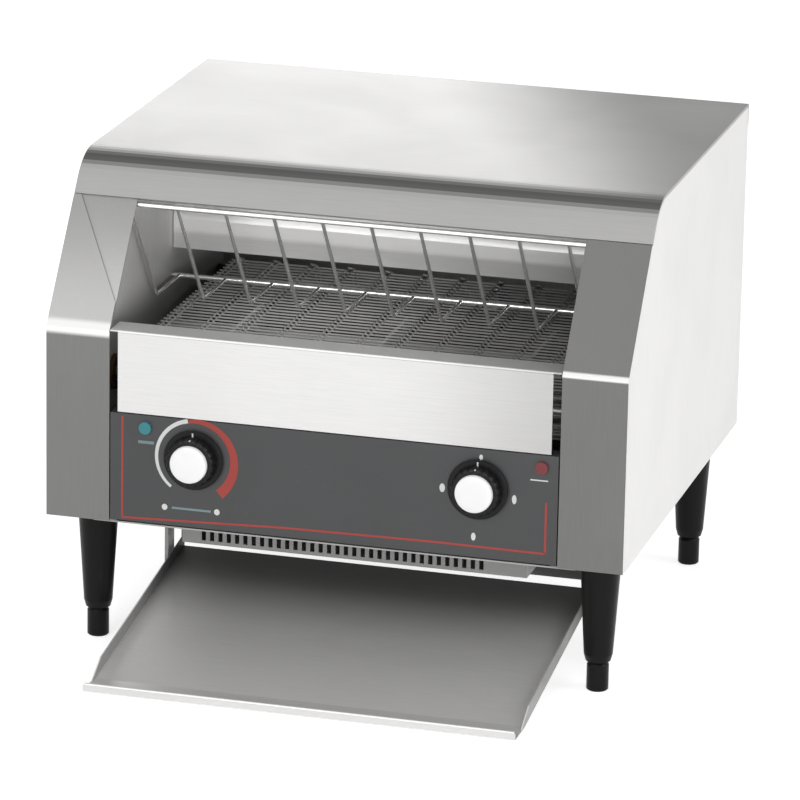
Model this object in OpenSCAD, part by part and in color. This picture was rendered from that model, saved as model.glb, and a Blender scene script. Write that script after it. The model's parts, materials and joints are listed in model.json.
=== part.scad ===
// Countertop conveyor toaster: bread goes in under the guard rods at the front, rides a wire
// belt between two banks of heaters, falls on a slide behind and comes out on the tray below.
// Inside each module: X is across, Y runs from the front face (0) to the back, and Z = 0 is
// the bottom edge of the casing. place() then moves everything to the common origin, which is
// on the table, in the middle of the space that the toaster takes up.

/* [Casing] */
// Width of the casing
body_w = 468; // [440:1:520]
// Depth of the casing
body_d = 418; // [412:1:460]
// Height of the casing, without its legs
body_h = 275; // [268:1:300]
// Thickness of the sheet steel
sheet_t = 1.2; // [0.8:0.1:2]
// Height of the crease where the front starts to lean back
crease_z = 156; // [150:1:160]
// Distance behind the front face of the hood lip
lip_y = 68; // [60:1:76]
// Drop from the flat top down to the hood lip
lip_drop = 29; // [24:1:32]
// Radius of the bend between the hood lip and the top
hood_r = 45; // [30:1:60]
// Width of the front stile on each side
stile_w = 52; // [46:1:56]
// Width of the flanges that carry the legs
leg_flange_w = 58; // [50:1:60]
// Clearance between sheets that don't touch
gap = 0.6; // [0.3:0.1:1]

/* [Front] */
// Distance of the bright upper fascia's ends from the casing's sides
fascia_in = 59; // [56:1:66]
// Lower edge of the upper fascia
fascia_z = 91; // [88:1:96]
// Depth of the loading shelf on top of the fascia
shelf_d = 24; // [18:1:28]
// Lower edge of the control panel
panel_z = 2; // [2:1:8]
// Height of both knobs' centres
knob_z = 58; // [50:1:60]
// Speed knob, distance left of the middle
speed_x = 112; // [90:1:125]
// Mode knob, distance right of the middle
mode_x = 118; // [90:1:130]
// Diameter of a knob's skirt
knob_d = 48; // [40:1:50]
// Distance that a knob stands out of the panel
knob_h = 18; // [16:1:24]
// Diameter of a knob's white cap
cap_d = 30; // [26:1:32]
// Diameter of a knob's stem
stem_d = 6; // [5:0.5:8]
// Diameter of a pilot lamp
lamp_d = 10; // [8:1:12]
// Left pilot lamp, distance from the panel's end
power_lamp_in = 29; // [24:1:34]
// Right pilot lamp, distance from the panel's end
heat_lamp_in = 13; // [10:1:18]
// Height of the pilot lamps
lamp_z = 80; // [78:1:81]

/* [Conveyor] */
// Distance of the wire belt's edges from the inner walls
belt_in = 12; // [10:1:20]
// Height of the belt's loading surface
belt_z = 127; // [124:1:130]
// Diameter of the belt's wires
wire_d = 2.4; // [2:0.1:3]
// Distance between the belt's cross wires
wire_pitch = 12; // [10:1:16]
// Number of link rows along the belt
link_rows = 5; // [3:2:7]
// Radius of the belt's centre line round the wheels
belt_r = 18.8; // [18:0.1:20]
// Front shaft, distance behind the front face
idler_y = 52; // [50:1:60]
// Rear shaft, distance behind the front face
drive_y = 330; // [320:1:334]
// Diameter of both shafts
shaft_d = 12; // [10:1:14]
// Width of a belt wheel
wheel_w = 8; // [6:1:12]
// Running clearance between a shaft and its bush
run_c = 0.05; // [0.02:0.01:0.08]

/* [Heating] */
// Width of the hollow between an inner wall and the casing's side
pod_w = 38; // [34:0.5:42]
// Front of the heating tunnel
hood_y = 205; // [200:1:210]
// Height of the tunnel mouth above the belt
mouth_h = 42; // [38:1:46]
// Diameter of a heater tube
heater_d = 8.5; // [7:0.5:10]
// Number of upper heaters
upper_count = 4; // [3:1:4]
// Number of lower heaters
lower_count = 3; // [2:1:3]

/* [Guard] */
// Diameter of a guard rod
rod_d = 3; // [2.5:0.1:4]
// Number of guard rods
rod_count = 10; // [8:1:10]
// Distance of the first guard rod from the left inner wall
rod_left = 6.6; // [5:0.1:12]
// Distance of the last guard rod from the right inner wall
rod_right = 29; // [20:0.5:32]

/* [Drive] */
// Motor sprocket, distance behind the front face
motor_y = 140; // [130:1:150]
// Motor sprocket, height
motor_z = 42; // [40:1:44]
// Outer radius of the belt shaft's sprocket
big_r = 22; // [20:1:26]
// Outer radius of the motor's sprocket
small_r = 14; // [12:1:16]
// Thickness of a sprocket
sprocket_t = 4; // [3:0.5:5]
// Diameter of the motor
motor_d = 56; // [50:1:60]
// Side of the cooling fan
fan_w = 80; // [70:1:80]

/* [Toast outlet] */
// Distance of the tray's sides from the casing's sides
tray_in = 60; // [58:1:70]
// Distance that the tray reaches in front of the casing
tray_reach = 88; // [70:1:110]
// Rear end of the tray, behind the front face
tray_back = 170; // [165:1:180]
// Slope of the tray
tray_tilt = 9; // [7:0.5:9.5]
// Depth of the tray's flat front lip
lip_d = 28; // [20:1:34]
// Height of the tray's side walls
tray_wall = 11; // [8:1:12]
// Distance of the slotted air duct's ends from the casing's sides
duct_in = 92; // [84:1:100]
// Height of the slotted air duct
duct_h = 34; // [32:1:38]
// Front of the slotted air duct
duct_y = 66; // [60:1:72]
// Number of slots in the air duct
slot_count = 34; // [20:1:36]

/* [Legs] */
// Height of a leg with its foot
leg_h = 112; // [108:1:125]
// Diameter at a leg's top
leg_d = 32; // [28:1:34]
// Diameter at a leg's lower end
leg_low_d = 23; // [21:1:24]
// Distance of a leg's centre from the casing's front and back
leg_in_y = 46; // [42:1:60]
// Diameter of a levelling foot
foot_d = 17.5; // [15:0.5:19]
// Height of a levelling foot
foot_h = 24; // [18:1:28]

/* [Hidden] */

$fn = 48;
half_w = body_w / 2;
stile_x = half_w - stile_w;
wall_x = half_w - pod_w;
fascia_w = body_w - 2 * fascia_in;
lip_z = body_h - lip_drop;
gland_out = 14;
mid_y = (body_d + gland_out - tray_reach) / 2;

// The leaning front: from the crease up to the hood lip
lean = atan2(lip_y, lip_z - crease_z);
function lean_y(z) = (z - crease_z) * tan(lean);

// The hood's bend is tangent to the lean and to the flat top
hood_apex_y = lean_y(body_h);
bend_turn = 90 - lean;
bend_run = hood_r * tan(bend_turn / 2);
bend_steps = 10;
hood_cy = hood_apex_y + bend_run;
hood_cz = body_h - hood_r;

// Points of the hood's bend at a given radius, from the lean to the top
function bend_points(r) = [
    for (i = [0 : bend_steps])
        let (a = 90 + bend_turn - i * bend_turn / bend_steps)
        [hood_cy + r * cos(a), hood_cz + r * sin(a)]
];

// A point square inwards of the leaning face, at height z on that face
function inset(z, t) = [lean_y(z) + t * cos(lean), z - t * sin(lean)];

// Belt
belt_w = 2 * (wall_x - belt_in);
belt_cz = belt_z - belt_r - wire_d / 2;
wheel_r = belt_r - wire_d / 2 - 0.3;
belt_run = drive_y - idler_y;
belt_len = 2 * belt_run + 2 * PI * belt_r;
wire_n = round(belt_len / wire_pitch);

// Place and angle of a point at distance s along the belt: [y, z, angle]
function on_loop(s, ya, yb, z, r) =
    let (run = yb - ya, arc = PI * r)
    s < run ? [ya + s, z + r, 90] :
    s < run + arc ? let (a = 90 - (s - run) / r * 180 / PI) [yb + r * cos(a), z + r * sin(a), a] :
    s < 2 * run + arc ? [yb - (s - run - arc), z - r, 270] :
    let (a = 270 - (s - 2 * run - arc) / r * 180 / PI) [ya + r * cos(a), z + r * sin(a), a];

// Tunnel
mouth_z = belt_z + mouth_h;
tunnel_back = drive_y + 16;
hood_crease_z = mouth_z + 25;
hood_lean_y = 22;
heater_top_z = mouth_z + 14;
reflector_z = heater_top_z + 12;
heater_x = wall_x + sheet_t + 8;
ceramic_r = 7;
upper_pitch = (tunnel_back - hood_y - 36) / (upper_count - 1);
lower_first = hood_y + 20;
lower_pitch = 30;
lower_pan_z = belt_cz - belt_r - 9;

// Guard
rod_r = rod_d / 2;
rod_pitch = (2 * wall_x - rod_left - rod_right) / (rod_count - 1);
rod_top_z = lip_z - 6;
rod_top_y = lean_y(rod_top_z) + 7.5;
bread_h = 18;
rod_low_z = belt_z + bread_h + rod_r;
elbow_r = 8;
rod_into = 0.3;
elbow_z = rod_low_z + elbow_r * (1 - sin(lean));
elbow_y = rod_top_y + (rod_top_z - elbow_z) * tan(lean);
cross_r = rod_r + 0.6;
rod_end_y = hood_y - cross_r - 0.2;

// Chain drive, in the pod on the right
sprocket_x = wall_x + 16;
chain_clear = 0.4;
roller_r = 1.6;
chain_dy = drive_y - motor_y;
chain_dz = belt_cz - motor_z;
chain_span = sqrt(chain_dy * chain_dy + chain_dz * chain_dz);
chain_tilt = atan2(chain_dz, chain_dy);
big_c = big_r + roller_r + chain_clear;
small_c = small_r + roller_r + chain_clear;
chain_wrap = asin((big_c - small_c) / chain_span);

// Fan
fan_y = duct_y + 44;
fan_x = -70;
fan_t = 25;

// Return slide and tray
slide_w = 2 * (wall_x - 24);
tray_w = body_w - 2 * tray_in;
duct_w = body_w - 2 * duct_in;
slide_top_y = body_d - 16;
slide_top_z = lower_pan_z - 8;
slide_low_y = tray_back - 12;
slide_low_z = -62;
duct_back = duct_y + 86;
tray_t = 1;
tray_lift = 1;
tray_low = tray_lift - leg_h;
tray_fold_y = lip_d - tray_reach;
function tray_z(y) = tray_low + max(0, y - tray_fold_y) * tan(tray_tilt);
hanger_rod_r = 3;
hanger_y = tray_back - 22;
slot_w = 3.6;
slot_h = 8.5;
slot_left = 16;
slot_right = 32;
slot_pitch = (duct_w - slot_left - slot_right) / slot_count;

// Legs
leg_x = half_w - 28;
stud_r = 4;
bolt_r = 4;

// Moves a sub-part from the casing's own zero to the common origin
module place() {
    translate([0, -mid_y, leg_h]) children();
}

// A side outline, drawn as [y, z], made into a slab from x0 to x1
module slab(x0, x1) {
    translate([x0, 0, 0]) rotate([90, 0, 90]) linear_extrude(x1 - x0) children();
}

// A bar across the casing
module bar_x(x0, x1, y, z, r) {
    translate([x0, y, z]) rotate([0, 90, 0]) cylinder(r = r, h = x1 - x0);
}

// A round bar from one point to another
module bar(a, b, r) {
    d = b - a;
    translate(a)
        rotate([0, acos(d.z / norm(d)), atan2(d.y, d.x)])
            cylinder(r = r, h = norm(d));
}

// A bar from front to back, starting at y0
module bar_y(x, y0, y1, z, r) {
    translate([x, y0, z]) rotate([-90, 0, 0]) cylinder(r = r, h = y1 - y0);
}

module top_cover() place() color([0.80, 0.80, 0.80]) {
    lip_in = inset(lip_z, sheet_t);
    slab(-half_w, half_w)
        polygon(concat(
            [[lean_y(lip_z), lip_z]],
            bend_points(hood_r),
            [[body_d, body_h], [body_d, body_h - 18], [body_d - sheet_t, body_h - 18],
             [body_d - sheet_t, body_h - sheet_t]],
            [for (i = [bend_steps : -1 : 0]) bend_points(hood_r - sheet_t)[i]],
            [lip_in]
        ));
    // Hem folded back behind the lip
    slab(-stile_x, stile_x)
        polygon([
            lip_in, inset(lip_z, 2 * sheet_t + gap), inset(lip_z + 10, 2 * sheet_t + gap),
            inset(lip_z + 10, sheet_t + gap), inset(lip_z + sheet_t, sheet_t + gap),
            inset(lip_z + sheet_t, sheet_t)
        ]);
}

// Outline of the casing's side, drawn in by a clearance under the top cover
module side_outline() {
    inner = sheet_t + gap;
    polygon(concat(
        [[0, 0], [0, crease_z]],
        [[lean_y(lip_z - gap), lip_z - gap], inset(lip_z - gap, inner)],
        bend_points(hood_r - inner),
        [[body_d - inner, body_h - inner], [body_d - inner, 0]]
    ));
}

// Side plate with its front stile, bottom flange and, where it is given, the leaning flange
module side_panel(side) {
    edge = side * half_w;
    skin = side * (half_w - sheet_t);
    slab(min(edge, skin), max(edge, skin)) side_outline();
    // Front stile
    low = min(skin, side * stile_x);
    translate([low, 0, 0]) cube([half_w - sheet_t - stile_x, sheet_t, crease_z]);
    // Bottom flange under the legs
    inner = side * (half_w - leg_flange_w);
    difference() {
        translate([min(skin, inner), sheet_t, 0])
            cube([leg_flange_w - sheet_t, body_d - 3 * sheet_t, sheet_t]);
        for (row = [-1, 1])
            translate([side * leg_x, leg_y(row), -1]) cylinder(r = bolt_r + 0.3, h = 4);
    }
}

// Leaning flange seen square to its own face: its outline is in [x, distance up the lean]
module leaning_plate(t, sink) {
    translate([0, 0, crease_z])
        rotate([90 - lean, 0, 0])
            translate([0, 0, -t - sink])
                linear_extrude(t) children();
}

lean_len = (lip_z - crease_z) / cos(lean);
seam_low = 24;
seam_gap = 2.6;
seam_edge = 6;
cover_over = 8;

module left_side_panel() place() color([0.86, 0.86, 0.86]) {
    side_panel(-1);
    leaning_plate(sheet_t, 0)
        polygon([
            [-half_w + sheet_t, 0], [-stile_x, 0], [-stile_x, seam_low],
            [-half_w + seam_edge, lean_len - gap], [-half_w + sheet_t, lean_len - gap]
        ]);
}

module right_side_panel() place() color([0.86, 0.86, 0.86]) {
    side_panel(1);
    leaning_plate(sheet_t, 0)
        translate([stile_x, 0]) square([stile_w - sheet_t, lean_len - gap]);
}

// Cover in the left leaning corner, set behind the panel's slanted flange and the hood's lip
module left_corner_plate() place() color([0.84, 0.84, 0.84])
    leaning_plate(sheet_t, sheet_t + gap)
        polygon([
            [-stile_x, 4], [-stile_x, lean_len - gap], [-stile_x - 2 * gap, lean_len - gap],
            [-stile_x - 2 * gap, lean_len + cover_over], [-half_w + 3, lean_len + cover_over],
            [-half_w + 3, lean_len - 20], [-stile_x - 22, 4]
        ]);

module front_fascia() place() color([0.93, 0.93, 0.93]) {
    translate([-fascia_w / 2, 0, fascia_z]) cube([fascia_w, sheet_t, crease_z - fascia_z]);
    // Loading shelf, turned down behind
    translate([-stile_x + gap, 0, crease_z])
        cube([2 * (stile_x - gap), shelf_d, sheet_t]);
    translate([-stile_x + gap, shelf_d - sheet_t, crease_z - 9])
        cube([2 * (stile_x - gap), sheet_t, 9]);
}

panel_hole_r = stem_d / 2 + 1;
panel_x = stile_x - 1;
panel_top = fascia_z - 1;
power_lamp_x = panel_x - power_lamp_in;
heat_lamp_x = panel_x - heat_lamp_in;

module control_panel() place() color([0.30, 0.31, 0.31])
    difference() {
        union() {
            translate([-panel_x, 0, panel_z])
                cube([2 * panel_x, 2, panel_top - panel_z]);
            translate([-panel_x, 2, panel_top - 2]) cube([2 * panel_x, 14, 2]);
            translate([-panel_x, 2, panel_z]) cube([2 * panel_x, 14, 2]);
        }
        for (x = [-speed_x, mode_x]) bar_y(x, -1, 3, knob_z, panel_hole_r);
        for (x = [-power_lamp_x, heat_lamp_x]) bar_y(x, -1, 3, lamp_z, lamp_d / 2 - 1);
    }

fan_bore_r = fan_w / 2 - 3;
pan_front = 2 * sheet_t;

// Floor of the control space, with the fan's hole over the air duct
module base_pan() place() color([0.62, 0.62, 0.62])
    difference() {
        translate([-wall_x + gap, pan_front, -sheet_t])
            cube([2 * (wall_x - gap), duct_back - pan_front, sheet_t]);
        translate([fan_x, fan_y, -2]) cylinder(r = fan_bore_r, h = 4);
        for (sx = [-1, 1])
            translate([sx * leg_x, leg_in_y, -3]) cylinder(r = leg_d / 2 + 2, h = 6);
    }

slot_z = 3 - duct_h;

// Trough under the floor: its slotted front is the strip under the control panel
module air_duct() place() color([0.72, 0.72, 0.72])
    difference() {
        translate([-duct_w / 2, duct_y, -duct_h])
            cube([duct_w, duct_back - duct_y, duct_h - sheet_t]);
        translate([-duct_w / 2 + sheet_t, duct_y + sheet_t, sheet_t - duct_h])
            cube([duct_w - 2 * sheet_t, duct_back - duct_y - 2 * sheet_t, duct_h]);
        for (i = [0 : slot_count - 1])
            translate([slot_left - duct_w / 2 + i * slot_pitch, duct_y - 1, slot_z])
                cube([slot_w, 3, slot_h]);
    }

louvre_count = 7;
louvre_w = 90;
louvre_h = 4;
louvre_pitch = 12;
louvre_x = half_w - 104;
louvre_z = body_h - 125;
gland_x = half_w - 59;
gland_z = 34;
gland_r = 8;
back_y = body_d - 2 * sheet_t - gap;

// Back cover with two fields of louvre slots and the hole for the cord's entry
module back_panel() place() color([0.78, 0.78, 0.78])
    difference() {
        translate([-half_w + sheet_t + gap, back_y - sheet_t, sheet_t + gap])
            cube([body_w - 2 * (sheet_t + gap), sheet_t, body_h - 4 * sheet_t - 2 * gap]);
        for (side = [-1, 1], i = [0 : louvre_count - 1])
            translate([
                side * louvre_x - louvre_w / 2, back_y - 2 * sheet_t, louvre_z + i * louvre_pitch
            ])
                cube([louvre_w, 4 * sheet_t, louvre_h]);
        bar_y(gland_x, body_d - 12, body_d + 2, gland_z, gland_r + 0.1);
    }

// Inner wall that carries the shafts, the heaters and the motor
module inner_wall(side) {
    x0 = side > 0 ? wall_x : -wall_x - sheet_t;
    front = sheet_t + 8;
    top = body_h - 3 * sheet_t;
    slab(x0, x0 + sheet_t)
        difference() {
            polygon([
                [front, 2], [front, crease_z - 14], inset(lip_z - 8, 8), inset(lip_z + 6, 8),
                [hood_cy, top - gap], [tunnel_back, top - gap], [tunnel_back, 2]
            ]);
            for (y = [idler_y, drive_y]) translate([y, belt_cz]) circle(r = bush_r);
            for (p = heater_places()) translate(p) circle(r = ceramic_r + 0.05);
            for (p = rail_bars()) translate(p) circle(r = rail_bar_r + 0.05);
            if (side > 0) translate([motor_y, motor_z]) circle(r = motor_shaft_r + 2);
        }
}

bush_r = shaft_d / 2 + 5;
motor_shaft_r = 5;
rail_bar_r = 3;
function heater_places() = concat(
    [for (i = [0 : upper_count - 1]) [hood_y + 18 + i * upper_pitch, heater_top_z]],
    [for (i = [0 : lower_count - 1]) [lower_first + i * lower_pitch, belt_cz]]
);
function rail_bars() = [[idler_y + 40, belt_cz], [hood_y - 8, belt_cz]];

module left_inner_wall() place() color([0.60, 0.60, 0.60]) inner_wall(-1);

module right_inner_wall() place() color([0.60, 0.60, 0.60]) inner_wall(1);

// Tunnel front: an upright plate over the mouth, then a bright one that leans back
module tunnel_hood() place() color([0.85, 0.85, 0.85]) {
    top = body_h - 3 * sheet_t - gap;
    slab(-wall_x + gap, wall_x - gap)
        polygon([
            [hood_y, mouth_z], [hood_y, hood_crease_z], [hood_y + hood_lean_y, top],
            [hood_y + hood_lean_y + sheet_t, top],
            [hood_y + sheet_t, hood_crease_z], [hood_y + sheet_t, mouth_z]
        ]);
    slab(-wall_x + gap, wall_x - gap)
        translate([hood_y + sheet_t, mouth_z]) square([7, sheet_t]);
}

module upper_reflector() place() color([0.75, 0.75, 0.76]) {
    y0 = hood_y + 10;
    slab(-wall_x + gap, wall_x - gap)
        translate([y0, reflector_z]) square([tunnel_back - y0, sheet_t]);
    slab(-wall_x + gap, wall_x - gap)
        translate([tunnel_back - sheet_t, mouth_z]) square([sheet_t, reflector_z - mouth_z]);
}

module lower_reflector() place() color([0.70, 0.70, 0.70]) {
    y0 = idler_y + 30;
    slab(-wall_x + gap, wall_x - gap)
        translate([y0, lower_pan_z]) square([tunnel_back - y0 - 20, sheet_t]);
}

module heater_row(first, count) {
    for (i = [first : first + count - 1]) {
        p = heater_places()[i];
        bar_x(-heater_x, heater_x, p.x, p.y, heater_d / 2);
    }
}

module upper_heaters() place() color([0.45, 0.42, 0.40]) heater_row(0, upper_count);

module lower_heaters() place() color([0.45, 0.42, 0.40]) heater_row(upper_count, lower_count);

module heater_ceramics() place() color([0.92, 0.90, 0.84])
    for (side = [-1, 1], p = heater_places())
        translate([side * wall_x + (side > 0 ? -3 : -5), p.x, p.y])
            rotate([0, 90, 0])
                difference() {
                    cylinder(r = ceramic_r, h = 8);
                    translate([0, 0, -1]) cylinder(r = heater_d / 2 + 0.05, h = 10);
                }

// Endless wire belt: cross wires, joined by rows of links
module conveyor_belt() place() color([0.55, 0.55, 0.54]) {
    step = belt_len / wire_n;
    for (i = [0 : wire_n - 1]) {
        p = on_loop(i * step, idler_y, drive_y, belt_cz, belt_r);
        bar_x(-belt_w / 2, belt_w / 2, p.x, p.y, wire_d / 2);
    }
    link_t = 0.9;
    row_pitch = (belt_w - 8) / (link_rows - 1);
    for (i = [0 : link_rows - 1]) {
        x = 4 - belt_w / 2 + i * row_pitch;
        slab(x - 1.2, x + 1.2)
            difference() {
                stadium(idler_y, drive_y, belt_cz, belt_r + link_t / 2);
                stadium(idler_y, drive_y, belt_cz, belt_r - link_t / 2);
            }
    }
}

// Outline of a loop round two centres at one height
module stadium(ya, yb, z, r) {
    for (y = [ya, yb]) translate([y, z]) circle(r = r);
    translate([ya, z - r]) square([yb - ya, 2 * r]);
}

rail_pitch = belt_w / 2 - 61;
rail_y = idler_y + 24;

// Strips that hold the belt's upper run up, on two cross bars
module belt_rails() place() color([0.58, 0.58, 0.58]) {
    top = belt_cz + belt_r - wire_d / 2 - 0.3;
    for (p = rail_bars())
        bar_x(-wall_x - sheet_t - 2, wall_x + sheet_t + 2, p.x, p.y, rail_bar_r);
    for (i = [-1 : 1])
        slab(i * rail_pitch - 1.5, i * rail_pitch + 1.5)
            translate([rail_y, belt_cz + 1])
                square([lower_first - 8 - rail_y, top - belt_cz - 1]);
}

module drive_shaft() place() color([0.66, 0.66, 0.68])
    bar_x(-wall_x - 14, sprocket_x + sprocket_t / 2 + 4, drive_y, belt_cz, shaft_d / 2);

module idler_shaft() place() color([0.66, 0.66, 0.68])
    bar_x(-wall_x - 14, wall_x + 14, idler_y, belt_cz, shaft_d / 2);

wheel_count = 4;
wheel_pitch = (belt_w - 90) / (wheel_count - 1);

// Belt wheels with shallow notches between their teeth
module wheels(y) {
    teeth = 9;
    for (i = [0 : wheel_count - 1])
        translate([(i - (wheel_count - 1) / 2) * wheel_pitch - wheel_w / 2, y, belt_cz])
            rotate([0, 90, 0])
                difference() {
                    cylinder(r = wheel_r, h = wheel_w);
                    translate([0, 0, -1]) cylinder(r = shaft_d / 2 + 0.02, h = wheel_w + 2);
                    for (i = [0 : teeth - 1])
                        rotate([0, 0, i * 360 / teeth])
                            translate([wheel_r + 0.6, 0, -1]) cylinder(r = 2.6, h = wheel_w + 2);
                }
}

module drive_wheels() place() color([0.50, 0.50, 0.50]) wheels(drive_y);

module idler_wheels() place() color([0.50, 0.50, 0.50]) wheels(idler_y);

// Flanged bronze bushes pressed into the inner walls
module shaft_bushes() place() color([0.70, 0.52, 0.28])
    for (side = [-1, 1], y = [idler_y, drive_y])
        translate([side * (wall_x - 4), y, belt_cz])
            rotate([0, side * 90, 0])
                difference() {
                    union() {
                        cylinder(r = bush_r - 0.05, h = 10);
                        cylinder(r = bush_r + 3, h = 4);
                    }
                    translate([0, 0, -1]) cylinder(r = shaft_d / 2 + run_c, h = 12);
                }

// Sprocket disc with round gaps between its teeth
module sprocket(y, z, r, bore_r, teeth) {
    translate([sprocket_x - sprocket_t / 2, y, z])
        rotate([0, 90, 0])
            difference() {
                cylinder(r = r, h = sprocket_t);
                translate([0, 0, -1]) cylinder(r = bore_r, h = sprocket_t + 2);
                for (i = [0 : teeth - 1])
                    rotate([0, 0, i * 360 / teeth])
                        translate([r + 0.2, 0, -1]) cylinder(r = roller_r, h = sprocket_t + 2);
            }
}

big_teeth = 22;
small_teeth = 14;

module shaft_sprocket() place() color([0.40, 0.40, 0.42])
    sprocket(drive_y, belt_cz, big_r, shaft_d / 2 + 0.02, big_teeth);

module motor_sprocket() place() color([0.40, 0.40, 0.42]) {
    sprocket(motor_y, motor_z, small_r, 0.1, small_teeth);
    bar_x(wall_x - 30, sprocket_x - sprocket_t / 2, motor_y, motor_z, motor_shaft_r);
}

// Roller chain round both sprockets, held just clear of their teeth
module drive_chain() place() color([0.35, 0.35, 0.36]) {
    plate = 2.2;
    for (s = [-1, 1])
        slab(sprocket_x + s * 3 - 0.5, sprocket_x + s * 3 + 0.5)
            translate([motor_y, motor_z]) rotate(chain_tilt)
                difference() {
                    chain_outline(plate);
                    chain_outline(-plate);
                }
    rollers = 10;
    for (s = [-1, 1], i = [0 : 2 * rollers]) {
        along = i / (2 * rollers);
        a = s * (90 + chain_wrap);
        p = [
            along * chain_span + cos(a) * (small_c + along * (big_c - small_c)),
            sin(a) * (small_c + along * (big_c - small_c))
        ];
        y = motor_y + p.x * cos(chain_tilt) - p.y * sin(chain_tilt);
        z = motor_z + p.x * sin(chain_tilt) + p.y * cos(chain_tilt);
        bar_x(sprocket_x - 3.2, sprocket_x + 3.2, y, z, roller_r);
    }
}

// Loop outline round the two sprockets, grown by g; the motor's centre is at zero
module chain_outline(g) {
    a = 90 + chain_wrap;
    steps = 16;
    polygon(concat(
        [for (i = [0 : steps])
            let (t = a + i * (360 - 2 * a) / steps)
            [(small_c + g) * cos(t), (small_c + g) * sin(t)]],
        [for (i = [0 : steps])
            let (t = -a + i * 2 * a / steps)
            [chain_span + (big_c + g) * cos(t), (big_c + g) * sin(t)]]
    ));
}

gearbox_w = 30;
gearbox_d = 68;
gearbox_h = 64;
plate_d = gearbox_d + 16;
plate_h = gearbox_h + 4;
motor_len = 78;
motor_cap_r = 9;
motor_cap_len = 12;
motor_face = wall_x - gap - sheet_t;

module gear_motor() place() color([0.45, 0.46, 0.48]) {
    box_x = motor_face - gearbox_w;
    difference() {
        union() {
            translate([box_x, motor_y - gearbox_d / 2, motor_z - gearbox_h / 2])
                cube([gearbox_w, gearbox_d, gearbox_h]);
            bar_x(box_x - motor_len, box_x, motor_y, motor_z, motor_d / 2);
            bar_x(box_x - motor_len - motor_cap_len, box_x - motor_len, motor_y, motor_z,
                  motor_cap_r);
        }
        bar_x(wall_x - 32, wall_x + 4, motor_y, motor_z, motor_shaft_r + run_c);
    }
}

// Plate between the gearbox and the inner wall
module motor_plate() place() color([0.55, 0.55, 0.56])
    difference() {
        translate([motor_face, motor_y - plate_d / 2, motor_z - plate_h / 2])
            cube([sheet_t, plate_d, plate_h]);
        bar_x(motor_face - 1, motor_face + 3, motor_y, motor_z, motor_shaft_r + 1);
    }

fan_hub_r = 15;
fan_base_z = gap;

module fan_frame() place() color([0.16, 0.16, 0.17])
    translate([fan_x, fan_y, fan_base_z]) {
        difference() {
            translate([-fan_w / 2, -fan_w / 2, 0]) cube([fan_w, fan_w, fan_t]);
            translate([0, 0, -1]) cylinder(r = fan_bore_r, h = fan_t + 2);
            for (sx = [-1, 1], sy = [-1, 1])
                translate([sx * (fan_w / 2 - 5), sy * (fan_w / 2 - 5), -1])
                    cylinder(r = 2, h = fan_t + 2);
        }
        for (a = [0, 120, 240])
            rotate([0, 0, a]) translate([fan_hub_r - 2, -2, 0]) cube([fan_bore_r - fan_hub_r + 3, 4, 3]);
        difference() {
            cylinder(r = fan_hub_r, h = 4);
            translate([0, 0, -1]) cylinder(r = 3 + run_c, h = 6);
        }
    }

// Fan blades stand at a pitch on the hub
module fan_rotor() place() color([0.10, 0.10, 0.11])
    translate([fan_x, fan_y, fan_base_z]) {
        translate([0, 0, 5]) cylinder(r = fan_hub_r, h = fan_t - 7);
        cylinder(r = 3, h = 6);
        for (i = [0 : 6])
            rotate([0, 0, i * 360 / 7])
                translate([fan_hub_r - 2, 0, 13]) rotate([35, 0, 0])
                    translate([0, -9, -0.8]) cube([fan_bore_r - fan_hub_r - 1, 18, 1.6]);
    }

// Guard rods lean back from the hood lip, then run back to the tunnel as hold-downs; the bend
// swells a little, and the straight parts run into it
module guard_rods() place() color([0.80, 0.80, 0.82]) {
    for (i = [0 : rod_count - 1]) {
        x = i * rod_pitch - wall_x + rod_left;
        bar([x, rod_top_y, rod_top_z],
            [x, elbow_y + rod_into * sin(lean), elbow_z - rod_into * cos(lean)], rod_r);
        translate([x, elbow_y + elbow_r * cos(lean), rod_low_z + elbow_r])
            rotate([90, 0, 90]) rotate([0, 0, 180 + lean])
                rotate_extrude(angle = 90 - lean) translate([elbow_r, 0]) circle(r = rod_r + 0.05);
        bar_y(x, elbow_y + elbow_r * cos(lean) - rod_into, rod_end_y, rod_low_z, rod_r);
    }
    bar_x(-wall_x + gap, wall_x - gap, rod_top_y, rod_top_z, cross_r);
    bar_x(-wall_x + gap, wall_x - gap, rod_end_y, rod_low_z, cross_r);
}

// Slide behind and under the belt, from the back down to the tray
module return_slide() place() color([0.70, 0.70, 0.70]) {
    slope = atan2(slide_top_z - slide_low_z, slide_top_y - 14 - slide_low_y);
    // The side walls stand a little way into the plate
    root = sheet_t / 3;
    slide_wall = 16;
    slab(-slide_w / 2, slide_w / 2)
        polygon([
            [slide_low_y, slide_low_z], [slide_top_y - 14, slide_top_z], [slide_top_y, slide_top_z + 30],
            [slide_top_y + sheet_t, slide_top_z + 30], [slide_top_y - 14 + sheet_t, slide_top_z - sheet_t],
            [slide_low_y + sheet_t * sin(slope), slide_low_z - sheet_t * cos(slope)]
        ]);
    for (side = [-1, 1]) {
        x = side > 0 ? slide_w / 2 - sheet_t : -slide_w / 2;
        slab(x, x + sheet_t)
            polygon([
                [slide_low_y, slide_low_z - root], [slide_top_y - 14, slide_top_z - root],
                [slide_top_y - 14, slide_top_z + slide_wall], [slide_low_y, slide_low_z + slide_wall]
            ]);
    }
}

hanger_x = tray_w / 2 + 5;
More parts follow.
